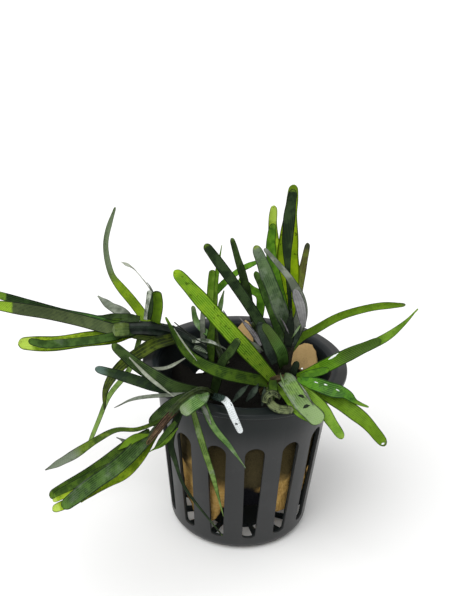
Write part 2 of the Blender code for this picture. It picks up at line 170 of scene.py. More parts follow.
tissue = {
    "blotch": (330.0, 3.0, 0.6),
    "fine": (1500.0, 2.0, 0.6),
    # noise of the painted sheen, a pale grey reflection of the sky on the leaves
    "film": (170.0, 4.0, 0.65),
    "speck": (1100.0, 1.0, 0.5),
    "veinBand": (0.22, 0.02),      # from the vein, in lanes
    "wallBand": (0.17, 0.04),      # from the cross wall, in cells
    "edgeBand": (0.405, 0.47),     # from the middle line, in widths
    # painted shade towards the foot of the leaf
    "footBand": (0.55, 0.0),       # along the blade, in lengths
    # band of the painted sheen
    "filmBand": (0.5, 0.66),
    "speckBand": (0.62, 0.72),
    "shadeBand": (0.42, 0.6),
    "wander": 0.5,                 # how far the blotches push the veins aside, in lanes
    "waver": 0.06,                 # how far they push the start of the tip, in lengths
    "cellLength": 0.55,            # mm
    "cellShift": 0.37,             # from lane to lane, in cells
    "wallShare": 0.45,             # cross walls against veins
    "darkShare": 0.3,              # edges and specks against the shade colour
    # colour of the painted sheen
    "paintedSheenColour": (0.42, 0.47, 0.41),
    "glossSpread": 0.22,
    "veinRelief": 0.6,
    "blotchRelief": 0.9,
    "wallRelief": 0.25,
    "bump": (0.5, 0.1),            # strength and depth in mm
    "throughTint": (1.0, 1.0, 0.55),
}


def makeTissueGroup():
    group = bpy.data.node_groups.new("leafTissue", "ShaderNodeTree")
    for name in ("Blade", "Cells"):
        group.interface.new_socket(name, in_out="INPUT", socket_type="NodeSocketVector")
    for name in ("Veins", "Tip From", "Tip Blur"):
        group.interface.new_socket(name, in_out="INPUT", socket_type="NodeSocketFloat")
    for name in ("Vein", "Cell", "Blotch", "Fine", "Edge", "Tip", "Film", "Speck", "Foot"):
        group.interface.new_socket(name, in_out="OUTPUT", socket_type="NodeSocketFloat")
    given = group.nodes.new("NodeGroupInput").outputs
    result = group.nodes.new("NodeGroupOutput").inputs
    onBlade = put(group, "ShaderNodeSeparateXYZ", Vector=given["Blade"]).outputs
    onCells = put(group, "ShaderNodeSeparateXYZ", Vector=given["Cells"]).outputs
    where = onPiece(group)

    blotch = noise(group, where, *tissue["blotch"])
    # the film noise places the painted sheen
    film = noise(group, where, *tissue["film"])
    speck = noise(group, where, *tissue["speck"])
    sway = maths(group, "SUBTRACT", blotch, 0.5)
    lane = plus(group, times(group, onBlade["X"], given["Veins"]), times(group, sway, tissue["wander"]))
    fromVein = maths(group, "PINGPONG", lane, 0.5)
    shift = times(group, maths(group, "FLOOR", lane), tissue["cellShift"])
    row = plus(group, maths(group, "DIVIDE", onCells["Y"], tissue["cellLength"]), shift)
    fromWall = maths(group, "PINGPONG", row, 0.5)
    fromMiddle = maths(group, "ABSOLUTE", maths(group, "SUBTRACT", onBlade["X"], 0.5))
    reach = plus(group, onBlade["Y"], times(group, sway, tissue["waver"]))
    tipFull = plus(group, given["Tip From"], given["Tip Blur"])
    masks = {
        "Vein": between(group, fromVein, *tissue["veinBand"]),
        "Cell": between(group, fromWall, *tissue["wallBand"]),
        "Blotch": blotch,
        "Fine": noise(group, where, *tissue["fine"]),
        "Edge": between(group, fromMiddle, *tissue["edgeBand"]),
        "Tip": between(group, reach, given["Tip From"], tipFull),
        "Film": between(group, film, *tissue["filmBand"]),
        "Speck": between(group, speck, *tissue["speckBand"]),
        "Foot": between(group, onBlade["Y"], *tissue["footBand"]),
    }
    for name, mask in masks.items():
        group.links.new(mask, result[name])
    return group


tissueGroup = makeTissueGroup()

# One entry for each look of a leaf. body and shade are the two greens that blotch into each other,
# vein and tip the colours of those places. veins is their number across the blade, lines and edge the
# strength of the veins and of the dark edge, tipFrom and tipBlur where the tip's colour starts and how
# soon it is full, through the share of light that comes from behind, frost a pale painted sheen
# (the grey reflection of the sky), specks small dark dots, foot the painted shade at the foot: how much
# darker the leaf is there (less than 0: lighter)
plainLook = dict(veins=8, lines=0.6, through=0.35, rough=0.38, tipFrom=0.94, tipBlur=0.05, frost=0.0,
                 specks=0.3, edge=0.95, gloss=0.08, foot=0.35)
leafLooks = {
    "freshLeaf": dict(body=(0.25, 0.44, 0.018), shade=(0.13, 0.31, 0.01), vein=(0.42, 0.62, 0.07),
        tip=(0.4, 0.6, 0.02), through=0.45, foot=0.45, lines=1, specks=0.7),
    "lightLeaf": dict(body=(0.24, 0.42, 0.045), shade=(0.14, 0.3, 0.018), vein=(0.34, 0.52, 0.09),
        tip=(0.28, 0.43, 0.06), through=0.4),
    "yellowLeaf": dict(body=(0.44, 0.6, 0.035), shade=(0.2, 0.33, 0.014), vein=(0.4, 0.53, 0.06),
        tip=(0.6, 0.76, 0.15), tipFrom=0.84, veins=7, lines=0.35, through=0.45, foot=0.3),
    "greenLeaf": dict(body=(0.15, 0.36, 0.02), shade=(0.065, 0.19, 0.012), vein=(0.19, 0.38, 0.035),
        tip=(0.18, 0.36, 0.02)),
    "mossLeaf": dict(body=(0.062, 0.125, 0.01), shade=(0.02, 0.05, 0.006), vein=(0.1, 0.18, 0.02),
        tip=(0.12, 0.22, 0.02), through=0.18),
    # darkTipLeaf: its dark tip is painted shade, where the leaf lies over the one behind it
    "darkTipLeaf": dict(body=(0.14, 0.32, 0.006), shade=(0.07, 0.19, 0.005), vein=(0.2, 0.4, 0.02),
        tip=(0.03, 0.06, 0.012), tipFrom=0.36, tipBlur=0.26, through=0.25, foot=0.1),
    "shadeLeaf": dict(body=(0.062, 0.13, 0.024), shade=(0.022, 0.055, 0.01), vein=(0.1, 0.18, 0.04),
        tip=(0.09, 0.19, 0.03), through=0.15, frost=0.12),
    "deepLeaf": dict(body=(0.028, 0.05, 0.018), shade=(0.009, 0.018, 0.008), vein=(0.04, 0.076, 0.02),
        tip=(0.12, 0.2, 0.02), tipFrom=0.97, tipBlur=0.02, veins=7, through=0.08, gloss=0.06),
    "deepLeafPaleTip": dict(body=(0.02, 0.05, 0.01), shade=(0.008, 0.024, 0.006),
        vein=(0.05, 0.09, 0.02), tip=(0.14, 0.26, 0.02), tipFrom=0.9, tipBlur=0.02, veins=5,
        through=0.1, foot=-4),
    "duskLeafPaleTip": dict(body=(0.058, 0.08, 0.034), shade=(0.034, 0.05, 0.024),
        vein=(0.12, 0.16, 0.045), tip=(0.3, 0.5, 0.025), tipFrom=0.865, tipBlur=0.02, veins=9,
        through=0.12, foot=-0.6, lines=0.9),
    "ridgedLeaf": dict(body=(0.06, 0.088, 0.008), shade=(0.018, 0.03, 0.005), vein=(0.12, 0.165, 0.015),
        tip=(0.02, 0.03, 0.01), veins=4, lines=0.45, through=0.12, foot=0.1),
    "oliveLeaf": dict(body=(0.155, 0.29, 0.014), shade=(0.11, 0.22, 0.01), vein=(0.25, 0.42, 0.03),
        tip=(0.12, 0.17, 0.05), tipFrom=0.95, through=0.38, foot=0.2),
    "brownEdgeLeaf": dict(body=(0.22, 0.26, 0.05), shade=(0.14, 0.13, 0.045), vein=(0.2, 0.26, 0.04),
        tip=(0.05, 0.055, 0.045), tipFrom=0.9, through=0.3, veins=3),
    "fadingLeaf": dict(body=(0.27, 0.42, 0.015), shade=(0.18, 0.31, 0.014), vein=(0.31, 0.46, 0.04),
        tip=(0.21, 0.26, 0.2), tipFrom=0.4, tipBlur=0.16, veins=5, foot=0.1),
    # greyTipLeaf: its grey tip is a painted sheen, the sky's reflection
    "greyTipLeaf": dict(body=(0.13, 0.2, 0.02), shade=(0.04, 0.08, 0.008), vein=(0.14, 0.23, 0.03),
        tip=(0.2, 0.23, 0.185), tipFrom=0.67, tipBlur=0.1, through=0.2, veins=5),
    # a grey-green leaf under a painted sheen
    "frostedLeaf": dict(body=(0.125, 0.195, 0.085), shade=(0.06, 0.105, 0.044), vein=(0.14, 0.23, 0.09),
        tip=(0.26, 0.36, 0.03), tipFrom=0.965, tipBlur=0.02, through=0.18, frost=0.22, veins=7,
        foot=0.6),
    "paleGreenLeaf": dict(body=(0.16, 0.28, 0.055), shade=(0.1, 0.18, 0.045), vein=(0.3, 0.43, 0.17),
        tip=(0.27, 0.39, 0.17), tipFrom=0.55, tipBlur=0.3, through=0.25, frost=0.3, foot=0.4),
    "silverLeaf": dict(body=(0.27, 0.3, 0.24), shade=(0.13, 0.155, 0.11), vein=(0.14, 0.16, 0.12),
        tip=(0.25, 0.28, 0.23), through=0.22, frost=0.2, veins=9, lines=0.3),
    "outlinedLeaf": dict(body=(0.26, 0.26, 0.26), shade=(0.18, 0.18, 0.18), vein=(0.1, 0.1, 0.1),
        tip=(0.24, 0.24, 0.24), through=0.15, veins=4, lines=0.4, edge=1.0, foot=0.0),
    # glintLeaf: its white tip is a painted highlight
    "glintLeaf": dict(body=(0.022, 0.04, 0.03), shade=(0.02, 0.04, 0.03), vein=(0.1, 0.14, 0.13),
        tip=(0.88, 0.92, 0.94), tipFrom=0.5, tipBlur=0.08, lines=0.9, through=0.1, specks=1, rough=0.2,
        edge=0.3),
    # glintTipLeaf: its blue-grey tip is a painted gloss highlight
    "glintTipLeaf": dict(body=(0.022, 0.044, 0.012), shade=(0.009, 0.02, 0.01), vein=(0.05, 0.09, 0.03),
        tip=(0.1, 0.16, 0.14), tipFrom=0.86, tipBlur=0.1, through=0.1),
    "netLeaf": dict(body=(0.16, 0.29, 0.075), shade=(0.065, 0.16, 0.03), vein=(0.3, 0.44, 0.2),
        tip=(0.2, 0.27, 0.13), tipFrom=0.8, tipBlur=0.15, through=0.25, frost=0.3, lines=0.7, foot=0.1),
    "speckledLeaf": dict(body=(0.38, 0.54, 0.01), shade=(0.26, 0.42, 0.006), vein=(0.35, 0.52, 0.02),
        tip=(0.17, 0.28, 0.015), tipFrom=0.9, through=0.42, specks=0.9, lines=0.3, foot=0.1, edge=1.0),
    "witheredLeaf": dict(body=(0.105, 0.068, 0.032), shade=(0.035, 0.02, 0.012),
        vein=(0.22, 0.14, 0.09), tip=(0.07, 0.06, 0.02), tipFrom=0.8, veins=5, lines=0.9, through=0.12,
        rough=0.6),
    "softLeaf": dict(body=(0.22, 0.36, 0.075), shade=(0.1, 0.19, 0.03), vein=(0.34, 0.44, 0.18),
        tip=(0.25, 0.34, 0.12), frost=0.3, veins=4),
    "sheathLeaf": dict(body=(0.12, 0.17, 0.04), shade=(0.06, 0.1, 0.024), vein=(0.13, 0.19, 0.06),
        tip=(0.16, 0.21, 0.09), tipFrom=0.86, tipBlur=0.06, veins=5, through=0.2, frost=0.1),
    "wetLeaf": dict(body=(0.085, 0.24, 0.012), shade=(0.03, 0.105, 0.01), vein=(0.13, 0.3, 0.05),
        tip=(0.16, 0.3, 0.02), tipFrom=0.8, through=0.25, lines=0.8, rough=0.3, gloss=0.12, foot=-0.5),
    "mottledLeaf": dict(body=(0.13, 0.16, 0.065), shade=(0.03, 0.042, 0.018), vein=(0.2, 0.23, 0.12),
        tip=(0.15, 0.18, 0.08), through=0.15, veins=4, specks=1.0, foot=0.2),
    # wetSpot: small white patches of painted highlight on wet leaves
    "wetSpot": dict(body=(0.92, 0.95, 0.95), shade=(0.75, 0.8, 0.8), vein=(0.95, 0.97, 0.97),
        tip=(0.92, 0.95, 0.95), through=0.1, edge=0.0, specks=0.0, foot=0.0, rough=0.16, gloss=0.7),
    # gloomLeaf: dim leaves deep in the mouth of the pot, painted dark for the shade there
    "gloomLeaf": dict(body=(0.036, 0.052, 0.036), shade=(0.01, 0.017, 0.012),
        vein=(0.055, 0.075, 0.055), tip=(0.05, 0.07, 0.05), through=0.06),
    "tornLeaf": dict(body=(0.46, 0.5, 0.42), shade=(0.03, 0.052, 0.018), vein=(0.6, 0.64, 0.56),
        tip=(0.5, 0.54, 0.46), veins=3, lines=0.45, through=0.2, edge=0.6, foot=0.0),
    # paleAndHighlightLeaf: pale bits, and pale strips of painted highlight along folds
    "paleAndHighlightLeaf": dict(body=(0.42, 0.45, 0.37), shade=(0.27, 0.3, 0.22), vein=(0.6, 0.62, 0.55),
        tip=(0.5, 0.52, 0.46), veins=3, lines=0.5, through=0.25, edge=0.4, foot=0.0),
    "seaLeaf": dict(body=(0.062, 0.14, 0.026), shade=(0.03, 0.07, 0.012), vein=(0.1, 0.22, 0.05),
        tip=(0.045, 0.068, 0.014), tipFrom=0.5, tipBlur=0.35, through=0.18, foot=0.2),
    "pineLeaf": dict(body=(0.038, 0.072, 0.016), shade=(0.013, 0.028, 0.007),
        vein=(0.075, 0.125, 0.035), tip=(0.1, 0.17, 0.03), through=0.12),
    "inkLeaf": dict(body=(0.014, 0.022, 0.012), shade=(0.005, 0.008, 0.006), vein=(0.03, 0.045, 0.02),
        tip=(0.03, 0.05, 0.02), through=0.05),
    "greyRootLeaf": dict(body=(0.2, 0.19, 0.2), shade=(0.06, 0.055, 0.06), vein=(0.33, 0.32, 0.32),
        tip=(0.1, 0.1, 0.1), veins=3, lines=0.9, through=0.1, foot=0.2),
}


def makeLeafLook(name, look):
    material, tree, shader = newMaterial(name)
    grown = tree.nodes.new("ShaderNodeGroup")
    grown.node_tree = tissueGroup
    for layer, socket in (("blade", "Blade"), ("cells", "Cells")):
        layout = tree.nodes.new("ShaderNodeUVMap")
        layout.uv_map = layer
        tree.links.new(layout.outputs["UV"], grown.inputs[socket])
    for key, socket in (("veins", "Veins"), ("tipFrom", "Tip From"), ("tipBlur", "Tip Blur")):
        grown.inputs[socket].default_value = look[key]
    seen = grown.outputs
    dark = [part * tissue["darkShare"] for part in look["shade"]]
    blotches = between(tree, seen["Blotch"], *tissue["shadeBand"])
    colour = tint(tree, blotches, look["shade"], look["body"])
    colour = tint(tree, seen["Tip"], colour, look["tip"])
    # veins, cross walls, edges and specks, and over them a painted sheen: the sky's grey reflection
    for mask, strength, paint in (("Vein", look["lines"], look["vein"]),
                                  ("Cell", look["lines"] * tissue["wallShare"], look["shade"]),
                                  ("Edge", look["edge"], dark),
                                  ("Film", look["frost"], tissue["paintedSheenColour"]),
                                  ("Speck", look["specks"], dark)):
        colour = tint(tree, times(tree, seen[mask], strength), colour, paint)
    # painted shade: the leaf darker towards its foot (lighter where foot is less than 0)
    foot = maths(tree, "SUBTRACT", 1.0, times(tree, seen["Foot"], look["foot"]))
    colour = tint(tree, 1.0, colour, foot, "MULTIPLY")
    spread = tissue["glossSpread"]
    roughness = plus(tree, times(tree, seen["Fine"], spread), look["rough"] - spread / 2)
    finishSurface(tree, shader, colour, roughness, look["gloss"])
    relief = plus(tree, times(tree, seen["Vein"], tissue["veinRelief"]),
                  times(tree, seen["Blotch"], tissue["blotchRelief"]))
    relief = maths(tree, "SUBTRACT", relief, times(tree, seen["Cell"], tissue["wallRelief"]))
    bumpOn(tree, shader, relief, *tissue["bump"])
    glow = tint(tree, 1.0, colour, tissue["throughTint"], "MULTIPLY")
    behind = put(tree, "ShaderNodeBsdfTranslucent", Color=glow)
    both = put(tree, "ShaderNodeMixShader", Fac=look["through"])
    tree.links.new(shader.outputs["BSDF"], both.inputs[1])
    tree.links.new(behind.outputs["BSDF"], both.inputs[2])
    tree.links.new(both.outputs["Shader"], tree.nodes["Material Output"].inputs["Surface"])
    return material


looks = {name: makeLeafLook(name, {**plainLook, **look}) for name, look in leafLooks.items()}
print("leaf looks ready")


# Smooth routes: stems and leaves pass through the same points, in mm, as their CAD solids

routeSteps = 24     # fine steps from point to point


def smoothRoute(points, count):
    route = [Vector(point) for point in points]
    ends = [2 * route[0] - route[1]] + route + [2 * route[-1] - route[-2]]
    fine = []
    for i in range(len(route) - 1):
        a, b, c, d = ends[i:i + 4]
        for k in range(routeSteps):
            t = k / routeSteps
            fine.append(0.5 * (2 * b + (c - a) * t + (2 * a - 5 * b + 4 * c - d) * t * t
                               + (3 * b - a - 3 * c + d) * t ** 3))
    fine.append(route[-1])
    reach = [0.0]
    for before, after in zip(fine, fine[1:]):
        reach.append(reach[-1] + (after - before).length)
    places = []
    k = 0
    for i in range(count):
        wanted = reach[-1] * i / (count - 1)
        while k < len(reach) - 2 and reach[k + 1] < wanted:
            k += 1
        share = (wanted - reach[k]) / max(reach[k + 1] - reach[k], 1e-9)
        places.append(fine[k].lerp(fine[k + 1], min(max(share, 0.0), 1.0)))
    return places, reach[-1]


def placeOn(line, share):
    last = len(line) - 1
    k = min(int(share * last), last - 1)
    run = (line[min(k + 2, last)] - line[max(k - 1, 0)]).normalized()
    return line[k].lerp(line[k + 1], share * last - k), run


# Stems: radius at the foot and at the tip, middle line (mm), look, record slot

stems = {
    "left_stem": (1.9, 2.15, [(-10, 8, 45.5), (-19, 10, 50), (-27, 9, 52), (-34.5, 9, 51.5)],
        "darkSheath", "green_stem"),
    "front_left_stem": (1.1, 0.85, [(-8, -13, 45), (-11, -21, 51), (-15, -29.5, 53), (-19, -35, 50.5),
        (-22.5, -38, 47.5)],
        "greenStem", "green_stem"),
    "main_stem": (1.6, 1.3, [(10, -8, 45.2), (10.5, -7, 53), (11.5, -6, 60), (11.5, -5, 64.5)],
        "brownStem", "brown_stem"),
    "front_stem": (1.2, 1.0, [(5, -10, 45), (8, -13, 50.5), (13.5, -14, 51.5)], "redStem", "brown_stem"),
    "back_stem": (1.0, 0.75, [(-5, 3, 45.5), (-8, 6, 50), (-9, 9, 56)], "greenStem", "green_stem"),
    "middle_stem": (1.0, 0.75, [(3, 2, 45.5), (3, 4, 52), (2, 5, 58)], "greenStem", "green_stem"),
}

stemShape = {
    "rows": 40,
    "ridges": 9,
    "sidesPerRidge": 3,
    "ridgeDepth": 0.12,       # share of the radius
    "tipRounding": 0.08,      # share of the length
    "tipClosing": 0.8,
    "nodeSwell": 0.1,         # share of the radius
    "nodeSpacing": 6.0,       # mm between the swollen nodes
    "nodeWidth": 0.25,        # share of that spacing
    "smoothAngle": 60,
}

stemSkin = {
    "blotch": (420.0, 4.0, 0.6),
    "blotchBand": (0.35, 0.68),
    "strand": (900.0, 3.0, 0.6),
    "strandStretch": (0.5, 0.5, 1.0),
    "strandShare": 0.5,
    "glossSpread": 0.25,
    "gloss": 0.15,
    "bump": (0.6, 0.15),
}

# Dark colour, light colour and least roughness
stemColours = {
    "darkSheath": ((0.003, 0.006, 0.004), (0.014, 0.024, 0.015), 0.3),
    "greenStem": ((0.012, 0.02, 0.006), (0.048, 0.075, 0.016), 0.3),
    "brownStem": ((0.007, 0.007, 0.005), (0.035, 0.032, 0.018), 0.4),
    "redStem": ((0.013, 0.011, 0.005), (0.075, 0.052, 0.018), 0.4),
}


def makeStemLook(name, dark, light, rough):
    material, tree, shader = newMaterial(name)
    where = onPiece(tree)
    stretched = put(tree, "ShaderNodeMapping", Vector=where, Scale=stemSkin["strandStretch"])
    blotch = noise(tree, where, *stemSkin["blotch"])
    strand = noise(tree, stretched.outputs["Vector"], *stemSkin["strand"])
    colour = tint(tree, between(tree, blotch, *stemSkin["blotchBand"]), dark, light)
    colour = tint(tree, times(tree, strand, stemSkin["strandShare"]), colour, dark)
    roughness = plus(tree, times(tree, strand, stemSkin["glossSpread"]), rough)
    finishSurface(tree, shader, colour, roughness, stemSkin["gloss"])
    bumpOn(tree, shader, plus(tree, blotch, strand), *stemSkin["bump"])
    return material


stemLooks = {name: makeStemLook(name, *values) for name, values in stemColours.items()}


def buildStem(name):
    footRadius, tipRadius, points, look, slot = stems[name]
    last = stemShape["rows"] - 1
    line, length = smoothRoute(points, stemShape["rows"])
    bpy.ops.mesh.primitive_cylinder_add(vertices=stemShape["ridges"] * stemShape["sidesPerRidge"],
                                        radius=1.0, depth=2.0)
    stem = bpy.context.object
    bpy.ops.object.mode_set(mode="EDIT")
    for height in [0.0] + [-1.0 + 2.0 * i / last for i in range(1, last)]:
        bpy.ops.mesh.select_all(action="SELECT")
        bpy.ops.mesh.bisect(plane_co=(0, 0, height), plane_no=(0, 0, 1))
    bpy.ops.object.mode_set(mode="OBJECT")
    phase = random.Random(name).uniform(0, 6)
    nodeFrom = 1.0 - stemShape["nodeWidth"]
    for vertex in stem.data.vertices:
        share = (vertex.co.z + 1.0) / 2
        place, run = placeOn(line, share)
        side = run.cross(facing).normalized()
        up = side.cross(run)
        around = math.atan2(vertex.co.y, vertex.co.x)
        swell = 1.0 + stemShape["ridgeDepth"] * math.cos(stemShape["ridges"] * around + phase)
        node = abs(((share * length / stemShape["nodeSpacing"]) % 1.0) - 0.5) * 2
        swell += stemShape["nodeSwell"] * max(0.0, node - nodeFrom) / stemShape["nodeWidth"]
        near = max(0.0, 1.0 - (1.0 - share) / stemShape["tipRounding"])
        swell *= math.sqrt(1.0 - stemShape["tipClosing"] * near ** 2)
        radius = footRadius + (tipRadius - footRadius) * share
        size = radius * swell * math.hypot(vertex.co.x, vertex.co.y)
        vertex.co = (place + (side * math.cos(around) + up * math.sin(around)) * size) * mm
    bpy.ops.object.shade_smooth_by_angle(angle=math.radians(stemShape["smoothAngle"]))
    return keepPiece(stem, pieceName(name), stemLooks[look], [name])


for stemName in stems:
    buildStem(stemName)
print("stems ready")


# Leaves. Each entry: place along the stem, the way on to the tip (mm), full width (mm), outline,
# turn at the foot and at the tip (degrees), look, record slot. A leaf's name begins as its stem's does

